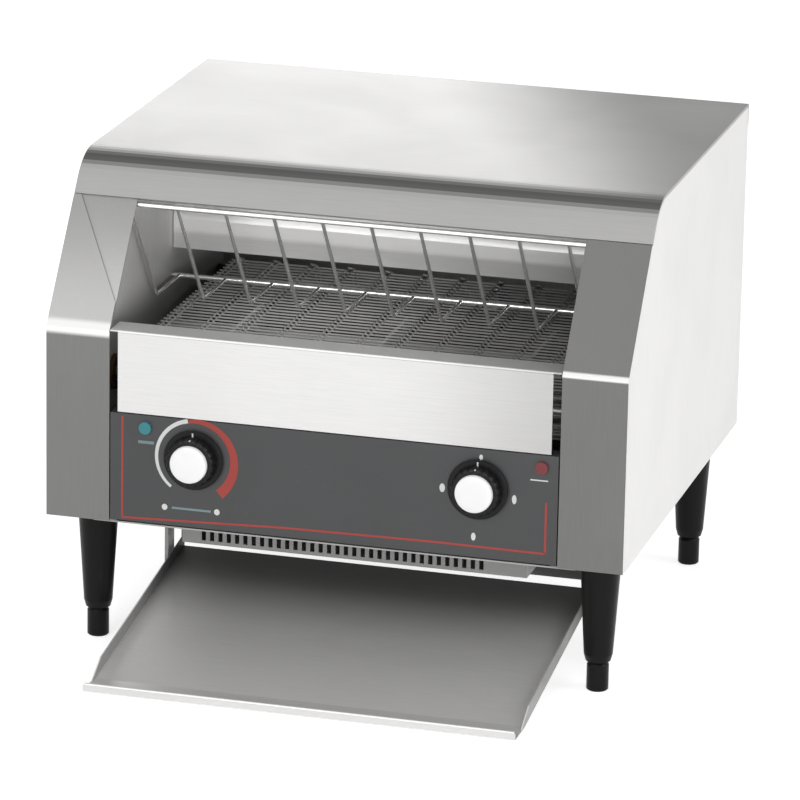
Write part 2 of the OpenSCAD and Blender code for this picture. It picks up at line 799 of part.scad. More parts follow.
// Brackets under the casing with a bar that the tray's rear end rests on
module tray_hangers() place() color([0.60, 0.60, 0.60]) {
    rod_z = tray_z(hanger_y) - tray_t - hanger_rod_r - 1;
    for (side = [-1, 1])
        translate([side > 0 ? hanger_x - 1.5 : -hanger_x - 1.5, hanger_y - 8, rod_z - 5])
            cube([3, 16, 5 - rod_z - sheet_t]);
    bar_x(-hanger_x, hanger_x, hanger_y, rod_z, hanger_rod_r);
}

module toast_tray() place() color([0.62, 0.62, 0.62]) {
    front = -tray_reach;
    slab(-tray_w / 2, tray_w / 2)
        polygon([
            [front, tray_low], [tray_fold_y, tray_low], [tray_back, tray_z(tray_back)],
            [tray_back, tray_z(tray_back) + tray_t], [tray_fold_y, tray_low + tray_t],
            [front + tray_t, tray_low + tray_t], [front + tray_t, tray_low + 5], [front, tray_low + 5]
        ]);
    wall_end = tray_fold_y - 8;
    for (side = [-1, 1]) {
        x = side > 0 ? tray_w / 2 - tray_t : -tray_w / 2;
        slab(x, x + tray_t)
            polygon([
                [wall_end, tray_low + tray_t], [tray_fold_y, tray_low + tray_t],
                [tray_back, tray_z(tray_back) + tray_t],
                [tray_back, tray_z(tray_back) + tray_wall],
                [tray_fold_y + 14, tray_z(tray_fold_y + 14) + tray_wall]
            ]);
    }
}

function leg_y(row) = row < 0 ? leg_in_y : body_d - leg_in_y;

// Tapered leg with a step above its levelling foot
module leg(side, row) place() color([0.06, 0.06, 0.06])
    translate([side * leg_x, leg_y(row), 0])
        difference() {
            rotate_extrude()
                polygon([
                    [0, -sheet_t - gap], [leg_d / 2, -sheet_t - gap], [leg_d / 2, -8],
                    [leg_low_d / 2, foot_h - leg_h + 6], [leg_low_d / 2 - 1.5, foot_h - leg_h + 0.5],
                    [0, foot_h - leg_h + 0.5]
                ]);
            translate([0, 0, foot_h - leg_h]) cylinder(r = stud_r + run_c, h = 40);
            translate([0, 0, -32]) cylinder(r = bolt_r + 0.05, h = 40);
        }

module leg_front_left() leg(-1, -1);
module leg_front_right() leg(1, -1);
module leg_back_left() leg(-1, 1);
module leg_back_right() leg(1, 1);

// Levelling foot: a pad on a threaded stud
module foot(side, row) place() color([0.07, 0.07, 0.07])
    translate([side * leg_x, leg_y(row), -leg_h])
        rotate_extrude()
            polygon([
                [0, 0], [foot_d / 2 - 1, 0], [foot_d / 2, 1], [foot_d / 2, foot_h - 3],
                [foot_d / 2 - 2, foot_h], [stud_r, foot_h], [stud_r, foot_h + 34], [0, foot_h + 34]
            ]);

module foot_front_left() foot(-1, -1);
module foot_front_right() foot(1, -1);
module foot_back_left() foot(-1, 1);
module foot_back_right() foot(1, 1);

// Bolts that hold the legs to the bottom flanges
module leg_bolts() place() color([0.70, 0.70, 0.70])
    for (side = [-1, 1], row = [-1, 1])
        translate([side * leg_x, leg_y(row), 0]) {
            translate([0, 0, sheet_t]) cylinder(r = 7, h = 5);
            translate([0, 0, -28]) cylinder(r = bolt_r, h = 28 + sheet_t);
        }

// Skirted knob: its stem runs through the panel into the control behind it
module knob(x) place() color([0.05, 0.05, 0.05])
    translate([x, 0, knob_z]) rotate([90, 0, 0]) {
        rotate_extrude()
            polygon([
                [0, 1.5], [knob_d / 2, 1.5], [knob_d / 2, 4.5], [knob_d / 2 - 3, 6.5],
                [knob_d / 2 - 4.5, knob_h - 6], [cap_d / 2 + 0.5, knob_h - 4], [0, knob_h - 4]
            ]);
        translate([0, 0, -18]) cylinder(r = stem_d / 2, h = 20);
    }

// Domed white cap on a knob
module knob_cap(x) place() color([0.96, 0.96, 0.95])
    translate([x, 0, knob_z]) rotate([90, 0, 0])
        rotate_extrude()
            polygon([
                [0, knob_h - 4], [cap_d / 2, knob_h - 4], [cap_d / 2, knob_h - 1.5],
                [cap_d / 2 - 2, knob_h - 0.4], [cap_d / 4, knob_h], [0, knob_h]
            ]);

module speed_knob() knob(-speed_x);
module speed_cap() knob_cap(-speed_x);
module mode_knob() knob(mode_x);
module mode_cap() knob_cap(mode_x);

// Control behind the panel, bored for a knob's stem
module control(x, w, d, h) {
    difference() {
        union() {
            translate([x - w / 2, 6, knob_z - h / 2]) cube([w, d, h]);
            bar_y(x, 2.1, 6, knob_z, stem_d / 2 + 3);
        }
        bar_y(x, 0, 20, knob_z, stem_d / 2 + run_c);
    }
}

module speed_regulator() place() color([0.20, 0.22, 0.24]) control(-speed_x, 34, 24, 34);

module mode_switch() place() color([0.75, 0.73, 0.66]) control(mode_x, 42, 36, 42);

// Pilot lamp with its bezel in front and its body behind the panel
module lamp(x) {
    bar_y(x, -2.5, 0, lamp_z, lamp_d / 2);
    bar_y(x, 0, 18, lamp_z, lamp_d / 2 - 1.1);
}

module power_lamp() place() color([0.10, 0.55, 0.60]) lamp(-power_lamp_x);

module heat_lamp() place() color([0.60, 0.05, 0.08]) lamp(heat_lamp_x);

terminal_w = 8;
terminal_d = 20;
terminal_h = 16;
terminal_x = 60;
terminal_y = 100;

module terminal_block() place() color([0.90, 0.88, 0.80])
    for (i = [0 : 4])
        translate([terminal_x + i * (terminal_w + 1), terminal_y, gap])
            difference() {
                cube([terminal_w, terminal_d, terminal_h]);
                for (y = [terminal_d / 4, terminal_d * 3 / 4])
                    translate([terminal_w / 2, y, terminal_h / 2]) cylinder(r = 2, h = terminal_h);
            }

// Entry for the supply cord in the back
module cable_gland() place() color([0.10, 0.10, 0.10])
    difference() {
        union() {
            bar_y(gland_x, body_d - 16, body_d + gland_out, gland_z, gland_r);
            bar_y(gland_x, back_y, body_d + 4, gland_z, gland_r + 4);
            bar_y(gland_x, body_d - 14, back_y - sheet_t, gland_z, gland_r + 4);
        }
        bar_y(gland_x, body_d - 20, body_d + gland_out + 2, gland_z, 4.5);
    }

// Domed screws: two rows on the top cover's back flange and three down each back edge
module casing_screws() place() color([0.72, 0.72, 0.72]) {
    for (i = [-1.5 : 1.5]) screw(i * (half_w - 54) * 2 / 3, body_d, body_h - 10);
    for (side = [-1, 1], i = [0 : 2])
        screw(side * (half_w - 8), back_y, screw_low_z + i * (body_h - 95) / 2);
}

screw_low_z = 40;

module screw(x, y, z) {
    translate([x, y, z]) rotate([-90, 0, 0]) cylinder(r1 = 3.5, r2 = 2.4, h = 2);
}

top_cover();
left_side_panel();
right_side_panel();
left_corner_plate();
front_fascia();
control_panel();
base_pan();
air_duct();
back_panel();
left_inner_wall();
right_inner_wall();
tunnel_hood();
upper_reflector();
lower_reflector();
upper_heaters();
lower_heaters();
heater_ceramics();
conveyor_belt();
belt_rails();
drive_shaft();
idler_shaft();
drive_wheels();
idler_wheels();
shaft_bushes();
shaft_sprocket();
motor_sprocket();
drive_chain();
gear_motor();
motor_plate();
fan_frame();
fan_rotor();
guard_rods();
return_slide();
tray_hangers();
toast_tray();
leg_front_left();
leg_front_right();
leg_back_left();
leg_back_right();
foot_front_left();
foot_front_right();
foot_back_left();
foot_back_right();
leg_bolts();
speed_knob();
speed_cap();
mode_knob();
mode_cap();
speed_regulator();
mode_switch();
power_lamp();
heat_lamp();
terminal_block();
cable_gland();
casing_screws();
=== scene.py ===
"""Looks of a countertop conveyor toaster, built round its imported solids.

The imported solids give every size. This script gives each of them a finish, and adds the
printed control panel, the grips of the knobs, the woven wire belt and the small trim.
Sizes inside the classes are in millimetres in the casing's own frame: X is across, Y runs
from the front face to the back, and Z starts at the casing's bottom edge.
"""

import json
import logging
import math
from dataclasses import dataclass
from enum import Enum

import bmesh
import bpy
from mathutils import Matrix, Vector


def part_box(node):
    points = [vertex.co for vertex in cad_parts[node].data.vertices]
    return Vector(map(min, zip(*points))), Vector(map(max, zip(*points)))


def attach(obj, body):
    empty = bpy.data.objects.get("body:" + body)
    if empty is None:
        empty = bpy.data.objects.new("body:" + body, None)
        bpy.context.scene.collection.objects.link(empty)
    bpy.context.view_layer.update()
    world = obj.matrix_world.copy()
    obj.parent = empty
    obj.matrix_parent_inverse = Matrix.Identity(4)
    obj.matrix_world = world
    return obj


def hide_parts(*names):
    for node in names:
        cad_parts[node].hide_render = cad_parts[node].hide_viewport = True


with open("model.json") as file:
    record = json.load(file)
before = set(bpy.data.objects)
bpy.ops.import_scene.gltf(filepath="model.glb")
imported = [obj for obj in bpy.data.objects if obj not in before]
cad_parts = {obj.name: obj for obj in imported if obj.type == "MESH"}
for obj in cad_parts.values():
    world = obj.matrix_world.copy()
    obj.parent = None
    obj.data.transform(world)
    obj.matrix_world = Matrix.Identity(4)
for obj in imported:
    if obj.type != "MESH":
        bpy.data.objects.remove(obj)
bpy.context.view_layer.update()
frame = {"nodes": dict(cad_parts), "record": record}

log = logging.getLogger("conveyor_toaster")

MM = 0.001
PANEL_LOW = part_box("left_side_panel")[0]
CASING_ZERO = Vector((0.0, PANEL_LOW.y, PANEL_LOW.z))
CASING_TO_ROW = Matrix.Translation(CASING_ZERO) @ Matrix.Scale(MM, 4)
CREASE_HEIGHT = 156.0
SMOOTH_ANGLE = math.radians(32)
MITRE_LIMIT = 1.5
DOT_SEGMENTS = 24

# A Mix node's own numbers for its colour sockets
COLOUR_A, COLOUR_B, COLOUR_RESULT = 6, 7, 2

Sockets = dict[str | int, object]


# ---------------------------------------------------------------- meshes


def casing_box(node: str) -> tuple[Vector, Vector]:
    """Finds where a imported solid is, in the casing's own millimetres.

    Args:
        node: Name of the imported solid.

    Returns:
        Its lowest and its highest corner.
    """
    low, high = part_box(node)
    return (low - CASING_ZERO) / MM, (high - CASING_ZERO) / MM


def only_verts(made: list) -> list[bmesh.types.BMVert]:
    """Keeps the vertices of what a mesh operator gives back.

    Args:
        made: The operator's vertices, edges and faces.

    Returns:
        The vertices alone, in their order.
    """
    return [item for item in made if isinstance(item, bmesh.types.BMVert)]


def finish_piece(
    name: str,
    shape: bmesh.types.BMesh,
    material: bpy.types.Material,
    body: str = "root",
    replaces: tuple[str, ...] = (),
) -> bpy.types.Object:
    """Turns a shape in casing millimetres into a piece that rides on a body.

    Args:
        name: Name of the piece.
        shape: The finished shape, which is freed here.
        material: The piece's material.
        body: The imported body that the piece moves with.
        replaces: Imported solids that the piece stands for.

    Returns:
        The piece's object, at the origin.
    """
    bmesh.ops.remove_doubles(shape, verts=shape.verts, dist=0.001)
    bmesh.ops.recalc_face_normals(shape, faces=shape.faces)
    bmesh.ops.transform(shape, matrix=CASING_TO_ROW, verts=shape.verts)
    mesh = bpy.data.meshes.new(name)
    shape.to_mesh(mesh)
    shape.free()
    mesh.shade_smooth()
    mesh.set_sharp_from_angle(angle=SMOOTH_ANGLE)
    mesh.materials.append(material)
    piece = bpy.data.objects.new(name, mesh)
    bpy.context.scene.collection.objects.link(piece)
    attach(piece, body)
    if replaces:
        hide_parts(*replaces)
    log.info("piece %s: %d faces on %s", name, len(mesh.polygons), body)
    return piece


def bevel_edges(
    shape: bmesh.types.BMesh, edges: list[bmesh.types.BMEdge], offset: float, segments: int = 2
) -> None:
    """Rounds edges of a shape.

    Args:
        shape: The shape.
        edges: The edges to round.
        offset: Width of the rounding.
        segments: Faces across the rounding.
    """
    bmesh.ops.bevel(
        shape,
        geom=edges,
        offset=offset,
        offset_type="OFFSET",
        segments=segments,
        profile=0.5,
        affect="EDGES",
        clamp_overlap=True,
        material=-1,
    )


def add_block(
    shape: bmesh.types.BMesh, low: Vector, high: Vector, rounding: float = 0.0
) -> list[bmesh.types.BMVert]:
    """Adds a block between two corners.

    Args:
        shape: The shape that it is added to.
        low: Lowest corner.
        high: Highest corner.
        rounding: Width of its rounded edges.

    Returns:
        The block's vertices, where it isn't rounded.
    """
    size = high - low
    place = Matrix.Translation((low + high) / 2) @ Matrix.Diagonal((*size, 1.0))
    verts = bmesh.ops.create_cube(shape, size=1.0, matrix=place)["verts"]
    if rounding > 0:
        bevel_edges(shape, list({e for v in verts for e in v.link_edges}), rounding)
        return []
    return verts


def add_turned(
    shape: bmesh.types.BMesh, profile: list[tuple[float, float]], place: Matrix, steps: int = 64
) -> None:
    """Adds a turned form: its profile spun once round the local Z axis.

    Args:
        shape: The shape that it is added to.
        profile: Points of radius and height, from one pole to the other.
        place: Where the local axes go.
        steps: Faces round the axis.
    """
    verts = [shape.verts.new((radius, 0.0, height)) for radius, height in profile]
    edges = [shape.edges.new(pair) for pair in zip(verts, verts[1:])]
    spun = bmesh.ops.spin(
        shape,
        geom=verts + edges,
        cent=(0.0, 0.0, 0.0),
        axis=(0.0, 0.0, 1.0),
        angle=math.tau,
        steps=steps,
        use_merge=True,
        use_duplicate=False,
    )
    linked = connected_verts(set(verts) | set(only_verts(spun["geom_last"])))
    bmesh.ops.remove_doubles(shape, verts=list(linked), dist=0.0005)
    bmesh.ops.transform(shape, matrix=place, verts=[v for v in linked if v.is_valid])


def connected_verts(start: set[bmesh.types.BMVert]) -> set[bmesh.types.BMVert]:
    """Finds every vertex joined by edges to the given ones.

    Args:
        start: Vertices to start from.

    Returns:
        All vertices of the same connected forms.
    """
    found = set(start)
    waiting = list(start)
    while waiting:
        for edge in waiting.pop().link_edges:
            for vert in edge.verts:
                if vert not in found:
                    found.add(vert)
                    waiting.append(vert)
    return found


def add_wire(
    shape: bmesh.types.BMesh, path: list[Vector], radius: float, sides: int = 8
) -> None:
    """Adds a round wire along a path.

    Args:
        shape: The shape that it is added to.
        path: Points of the wire's centre line.
        radius: Radius of the wire.
        sides: Faces round the wire.
    """
    headings = []
    for i, point in enumerate(path):
        before = (point - path[i - 1]).normalized() if i else Vector()
        after = (path[i + 1] - point).normalized() if i + 1 < len(path) else Vector()
        headings.append((before + after).normalized())
    frames = [
        Matrix.Translation(point) @ heading.to_track_quat("Z", "Y").to_matrix().to_4x4()
        for point, heading in zip(path, headings)
    ]
    ring = bmesh.ops.create_circle(
        shape, cap_ends=True, segments=sides, radius=radius, matrix=frames[0]
    )["verts"]
    edges = [e for e in {e for v in ring for e in v.link_edges} if len(e.link_faces) == 1]
    for start, end in zip(frames, frames[1:]):
        made = bmesh.ops.extrude_edge_only(shape, edges=edges)["geom"]
        verts = only_verts(made)
        made_edges = [item for item in made if isinstance(item, bmesh.types.BMEdge)]
        edges = [edge for edge in made_edges if all(vert in verts for vert in edge.verts)]
        bmesh.ops.transform(shape, matrix=end @ start.inverted(), verts=verts)
    bmesh.ops.edgeloop_fill(shape, edges=edges)


def add_print(
    shape: bmesh.types.BMesh, path: list[tuple[float, float]], width: float, thickness: float
) -> None:
    """Adds a line of ink on the front face, as a thin raised strip.

    Args:
        shape: The shape that it is added to.
        path: Points of X and Z that the line follows.
        width: Width of the line.
        thickness: How far it stands out of the face.
    """
    points = [Vector((x, 0.0, z)) for x, z in path]
    pairs = []
    for i, point in enumerate(points):
        before = (point - points[max(i - 1, 0)]).normalized()
        after = (points[min(i + 1, len(points) - 1)] - point).normalized()
        along = (before + after).normalized()
        across = Vector((-along.z, 0.0, along.x))
        bend = across.dot(Vector((-after.z, 0.0, after.x))) or 1.0
        half = across * width / 2 * min(1.0 / max(0.5, bend), MITRE_LIMIT)
        pairs.append((point + half, point - half))
    ends = [shape.verts.new(corner) for corner in pairs[0]]
    edge = shape.edges.new(ends)
    faces = []
    for corners in pairs[1:]:
        made = bmesh.ops.extrude_edge_only(shape, edges=[edge])["geom"]
        faces += [g for g in made if isinstance(g, bmesh.types.BMFace)]
        fresh = only_verts(made)
        ends = [min(fresh, key=lambda vert, old=old: (vert.co - old.co).length) for old in ends]
        edge = next(e for e in ends[0].link_edges if ends[1] in e.verts)
        for vert, corner in zip(ends, corners):
            bmesh.ops.translate(shape, verts=[vert], vec=corner - vert.co)
    raise_print(shape, faces, thickness)


def raise_print(
    shape: bmesh.types.BMesh, faces: list[bmesh.types.BMFace], thickness: float
) -> None:
    """Gives flat faces on the front a thickness towards the front.

    Args:
        shape: The shape.
        faces: Faces on the front plane.
        thickness: How far they stand out.
    """
    made = bmesh.ops.extrude_face_region(shape, geom=faces, use_keep_orig=True)["geom"]
    bmesh.ops.translate(shape, verts=only_verts(made), vec=(0.0, -thickness, 0.0))


def add_dot(
    shape: bmesh.types.BMesh, x: float, z: float, width: float, height: float, thickness: float
) -> None:
    """Adds a round or oval printed dot on the front face.

    Args:
        shape: The shape that it is added to.
        x: Place across.
        z: Height of its centre.
        width: Its width.
        height: Its height.
        thickness: How far it stands out of the face.
    """
    place = (
        Matrix.Translation((x, -thickness / 2, z))
        @ Matrix.Diagonal((width, 1.0, height, 1.0))
        @ Matrix.Rotation(math.pi / 2, 4, "X")
    )
    bmesh.ops.create_cone(
        shape,
        cap_ends=True,
        segments=DOT_SEGMENTS,
        radius1=0.5,
        radius2=0.5,
        depth=thickness,
        matrix=place,
    )


# ---------------------------------------------------------------- finishes


class Board:
    """A node tree that is wired by short calls."""

    def __init__(self, tree: bpy.types.NodeTree) -> None:
        """Keeps the tree.

        Args:
            tree: The node tree to wire.
        """
        self.tree = tree

    def add(self, kind: str, inputs: Sockets | None = None, **settings: object) -> bpy.types.Node:
        """Adds a node, sets it up and feeds it.

        Args:
            kind: The node's type, without its first word "ShaderNode".
            inputs: A value, or a socket to link, for each named or numbered input.
            settings: The node's own settings.

        Returns:
            The new node.
        """
        node = self.tree.nodes.new(kind if kind.startswith("Node") else f"ShaderNode{kind}")
        for key, value in settings.items():
            setattr(node, key, value)
        for key, value in (inputs or {}).items():
            socket = node.inputs[key]
            if isinstance(value, bpy.types.NodeSocket):
                self.tree.links.new(value, socket)
            else:
                socket.default_value = value
        return node

    def math(self, operation: str, first: object, second: object = 0.0) -> bpy.types.NodeSocket:
        """Adds a Math node.

        Args:
            operation: The node's operation.
            first: Its first value or socket.
            second: Its second value or socket.

        Returns:
            The result's socket.
        """
        return self.add("Math", {0: first, 1: second}, operation=operation).outputs[0]

    def fade(self, value: object, low: float, high: float) -> bpy.types.NodeSocket:
        """Adds a smooth step from 0 at low to 1 at high.

        Args:
            value: The value's socket.
            low: Where the step starts.
            high: Where the step ends.

        Returns:
            The step's socket.
        """
        node = self.add(
            "MapRange",
            {"Value": value, "From Min": low, "From Max": high},
            interpolation_type="SMOOTHSTEP",
        )
        return node.outputs["Result"]

    def blend(self, share: object, first: object, second: object) -> bpy.types.NodeSocket:
        """Adds a Mix node for two numbers.

        Args:
            share: How much of the second number there is, from 0 to 1.
            first: The number, or its socket, at a share of 0.
            second: The number, or its socket, at a share of 1.

        Returns:
            The result's socket.
        """
        return self.add("Mix", {"Factor": share, "A": first, "B": second}).outputs["Result"]

    def tint(self, tone: object, colour: tuple[float, float, float]) -> bpy.types.NodeSocket:
        """Adds a colour that is darker or lighter by a tone.

        Args:
            tone: The tone's socket.
            colour: The colour at a tone of 1.

        Returns:
            The colour's socket.
        """
        node = self.add("VectorMath", {0: colour, "Scale": tone}, operation="SCALE")
        return node.outputs["Vector"]


def new_group(name: str, inputs: dict[str, object], outputs: dict[str, str]) -> Board:
    """Starts a shared node group.

    Args:
        name: Name of the group.
        inputs: Each input's name and its first value, a number or three numbers.
        outputs: Each output's name and its socket type.

    Returns:
        The group's board, with nodes named "In" and "Out" on it.
    """
    tree = bpy.data.node_groups.new(name, "ShaderNodeTree")
    for label, value in inputs.items():
        kind = "NodeSocketVector" if isinstance(value, tuple) else "NodeSocketFloat"
        tree.interface.new_socket(label, in_out="INPUT", socket_type=kind).default_value = value
    for label, kind in outputs.items():
        tree.interface.new_socket(label, in_out="OUTPUT", socket_type=kind)
    board = Board(tree)
    board.add("NodeGroupInput").name = "In"
    board.add("NodeGroupOutput").name = "Out"
    return board


def painted_side_tone_group() -> bpy.types.NodeTree:
    """Builds the group for painted shade and painted reflection: another tone on each side of a
    folded sheet.

    Returns:
        The group, whose output Tone blends six tones by the way a face looks.
    """
    sides = {"Left": 0.5, "Right": 0.5, "Front": 0.5, "Back": 0.5, "Under": 0.4, "Top": 0.6}
    board = new_group("painted side tone", sides, {"Tone": "NodeSocketFloat"})
    source, out = board.tree.nodes["In"], board.tree.nodes["Out"]
    look = board.add("TexCoord").outputs["Normal"]
    axes = board.add("SeparateXYZ", {0: look}).outputs
    total = 0.0
    for axis, low, high in ((0, "Left", "Right"), (1, "Front", "Back"), (2, "Under", "Top")):
        share = board.math("MULTIPLY", axes[axis], axes[axis])
        ahead = board.math("GREATER_THAN", axes[axis], 0.0)
        tone = board.blend(ahead, source.outputs[low], source.outputs[high])
        total = board.math("ADD", total, board.math("MULTIPLY", share, tone))
    board.tree.links.new(total, out.inputs["Tone"])
    return board.tree


def grain_group() -> bpy.types.NodeTree:
    """Builds the group for the fine lines that brushing leaves in sheet steel.

    Returns:
        The group, with outputs Streaks, from 0 to 1, and Normal.
    """
    board = new_group(
        "brushed grain",
        {"Stretch": (40.0, 900.0, 900.0), "Depth": 0.1},
        {"Streaks": "NodeSocketFloat", "Normal": "NodeSocketVector"},
    )
    source, out = board.tree.nodes["In"], board.tree.nodes["Out"]
    place = board.add("TexCoord").outputs["Object"]
    spread = board.add(
        "VectorMath", {0: place, 1: source.outputs["Stretch"]}, operation="MULTIPLY"
    )
    fine = board.add(
        "TexNoise",
        {"Vector": spread.outputs["Vector"], "Scale": 1.0, "Detail": 5.0, "Roughness": 0.65},
    )
    bump = board.add(
        "Bump",
        {"Height": fine.outputs["Fac"], "Strength": source.outputs["Depth"], "Distance": 0.0003},
    )
    board.tree.links.new(fine.outputs["Fac"], out.inputs["Streaks"])
    board.tree.links.new(bump.outputs["Normal"], out.inputs["Normal"])
    return board.tree


def smudge_group() -> bpy.types.NodeTree:
    """Builds the group for wiped smears and the slight unevenness of a used surface.

    Returns:
        The group, with output Cloud, from 0 to 1.
    """
    board = new_group("smudges", {"Size": 12.0}, {"Cloud": "NodeSocketFloat"})
    source, out = board.tree.nodes["In"], board.tree.nodes["Out"]
    place = board.add("TexCoord").outputs["Object"]
    cloud = board.add(
        "TexNoise",
        {"Vector": place, "Scale": source.outputs["Size"], "Detail": 3.0, "Distortion": 0.6},
    )
    step = board.fade(cloud.outputs["Fac"], 0.35, 0.7)
    board.tree.links.new(step, out.inputs["Cloud"])
    return board.tree


def fold_highlight_group() -> bpy.types.NodeTree:
    """Builds the group for a painted highlight: the bright, rounded line where the front sheet is
    folded.

    Returns:
        The group, with output Mask, which is 1 on the fold and only on its front.
    """
    board = new_group(
        "painted fold highlight", {"Height": 0.268, "Width": 0.003}, {"Mask": "NodeSocketFloat"}
    )
    source, out = board.tree.nodes["In"], board.tree.nodes["Out"]
    coordinates = board.add("TexCoord").outputs
    height = board.add("SeparateXYZ", {0: coordinates["Object"]}).outputs["Z"]
    away = board.math("ABSOLUTE", board.math("SUBTRACT", height, source.outputs["Height"]))
    near = board.math("DIVIDE", away, source.outputs["Width"])
    band = board.math("SUBTRACT", 1.0, board.fade(near, 0.5, 1.2))
    ahead = board.add("SeparateXYZ", {0: coordinates["Normal"]}).outputs["Y"]
    front = board.math("LESS_THAN", ahead, -0.5)
    board.tree.links.new(board.math("MULTIPLY", band, front), out.inputs["Mask"])
    return board.tree


def bend_group() -> bpy.types.NodeTree:
    """Builds the group for painted shade: the dark band that a bend between two lit faces shows.

    Returns:
        The group, with output Mask, which is 1 where a face looks mostly but not quite up.
    """
    board = new_group("painted bend shade", {}, {"Mask": "NodeSocketFloat"})
    out = board.tree.nodes["Out"]
    look = board.add("TexCoord").outputs["Normal"]
    rise = board.add("SeparateXYZ", {0: look}).outputs["Z"]
    steeper = board.fade(rise, 0.74, 0.89)
    flatter = board.math("SUBTRACT", 1.0, board.fade(rise, 0.93, 1.0))
    board.tree.links.new(board.math("MULTIPLY", steeper, flatter), out.inputs["Mask"])
    return board.tree


def sheen_group() -> bpy.types.NodeTree:
    """Builds the group for a broad painted reflection that ends, or painted shade that deepens,
    along a slanted, soft line.

    Returns:
        The group, whose output Mask goes from 0 to 1 across that line, and whose output
        Flat mask does so on level faces alone.
    """
    board = new_group(
        "painted sheen and shade",
        {"Along": (1.0, 0.3, 0.0), "Start": 0.0, "End": 0.2},
        {"Mask": "NodeSocketFloat", "Flat mask": "NodeSocketFloat"},
    )
    source, out = board.tree.nodes["In"], board.tree.nodes["Out"]
    coordinates = board.add("TexCoord").outputs
    place = coordinates["Object"]
    reach = board.add(
        "VectorMath", {0: place, 1: source.outputs["Along"]}, operation="DOT_PRODUCT"
    ).outputs["Value"]
    past = board.math("SUBTRACT", reach, source.outputs["Start"])
    span = board.math("SUBTRACT", source.outputs["End"], source.outputs["Start"])
    mask = board.fade(board.math("DIVIDE", past, span), 0.0, 1.0)
    rise = board.add("SeparateXYZ", {0: coordinates["Normal"]}).outputs["Z"]
    flat = board.math("MULTIPLY", mask, board.fade(rise, 0.8, 1.0))
    board.tree.links.new(mask, out.inputs["Mask"])
    board.tree.links.new(flat, out.inputs["Flat mask"])
    return board.tree


def scuff_group() -> bpy.types.NodeTree:
    """Builds the group for the small scuffs and dust specks on mouldings and painted parts.

    Returns:
        The group, with outputs Mask, from 0 to 1, and Normal.
    """
    board = new_group(
        "scuffs",
        {"Size": 260.0, "Depth": 0.05},
        {"Mask": "NodeSocketFloat", "Normal": "NodeSocketVector"},
    )
    source, out = board.tree.nodes["In"], board.tree.nodes["Out"]
    place = board.add("TexCoord").outputs["Object"]
    specks = board.add(
        "TexNoise",
        {"Vector": place, "Scale": source.outputs["Size"], "Detail": 4.0, "Roughness": 0.7},
    )
    mask = board.fade(specks.outputs["Fac"], 0.6, 0.78)
    bump = board.add(
        "Bump",
        {
            "Height": specks.outputs["Fac"],
            "Strength": source.outputs["Depth"],
            "Distance": 0.0004,
        },
    )
    board.tree.links.new(mask, out.inputs["Mask"])
    board.tree.links.new(bump.outputs["Normal"], out.inputs["Normal"])
    return board.tree


class Workshop:
    """Holds the shared node groups, and starts the materials that use them."""

    def __init__(self) -> None:
        """Builds each shared group once."""
        self.groups = {
            "facing": painted_side_tone_group(),
            "grain": grain_group(),
            "smudge": smudge_group(),
            "fold": fold_highlight_group(),
            "bend": bend_group(),
            "sheen": sheen_group(),
            "scuff": scuff_group(),
        }

    def start(self, name: str) -> tuple[bpy.types.Material, Board, bpy.types.Node]:
        """Starts a material.

        Args:
            name: Name of the material.

        Returns:
            The material, its board and its main shader.
        """
        material = bpy.data.materials.new(name)
        material.use_nodes = True
        board = Board(material.node_tree)
        return material, board, material.node_tree.nodes["Principled BSDF"]

    def place(self, board: Board, group: str, inputs: Sockets) -> bpy.types.Node:
        """Places a shared group in a material.

        Args:
            board: The material's board.
            group: Which group.
            inputs: Values for the group's inputs.

        Returns:
            The group's node.
        """
        node = board.add("Group", node_tree=self.groups[group])
        for key, value in inputs.items():
            node.inputs[key].default_value = value
        return node


class Grain(Enum):
    """Which way a sheet was brushed: how far the grain is squeezed along each axis."""

    ACROSS = (30.0, 1400.0, 1400.0)
    UPRIGHT = (1400.0, 1400.0, 30.0)
    NONE = (500.0, 500.0, 500.0)


@dataclass(frozen=True)
class Tones:
    """How light a folded sheet is painted on each of its sides: painted shade and painted
    reflection for the way light falls there.
    """

    front: float
    top: float
    right: float = 0.5
    left: float = 0.5
    back: float = 0.5
    under: float = 0.4

    def inputs(self) -> Sockets:
        """Gives the tones under the facing group's input names."""
        return {
            "Front": self.front,
            "Top": self.top,
            "Right": self.right,
            "Left": self.left,
            "Back": self.back,
            "Under": self.under,
        }


@dataclass(frozen=True)
class Sheen:
    """Where a sheet's broad painted reflection ends, and how dark its painted shade is beyond it.
    """

    along: tuple[float, float, float]
    start: float
    end: float
    shade: float
    flat_only: bool = False


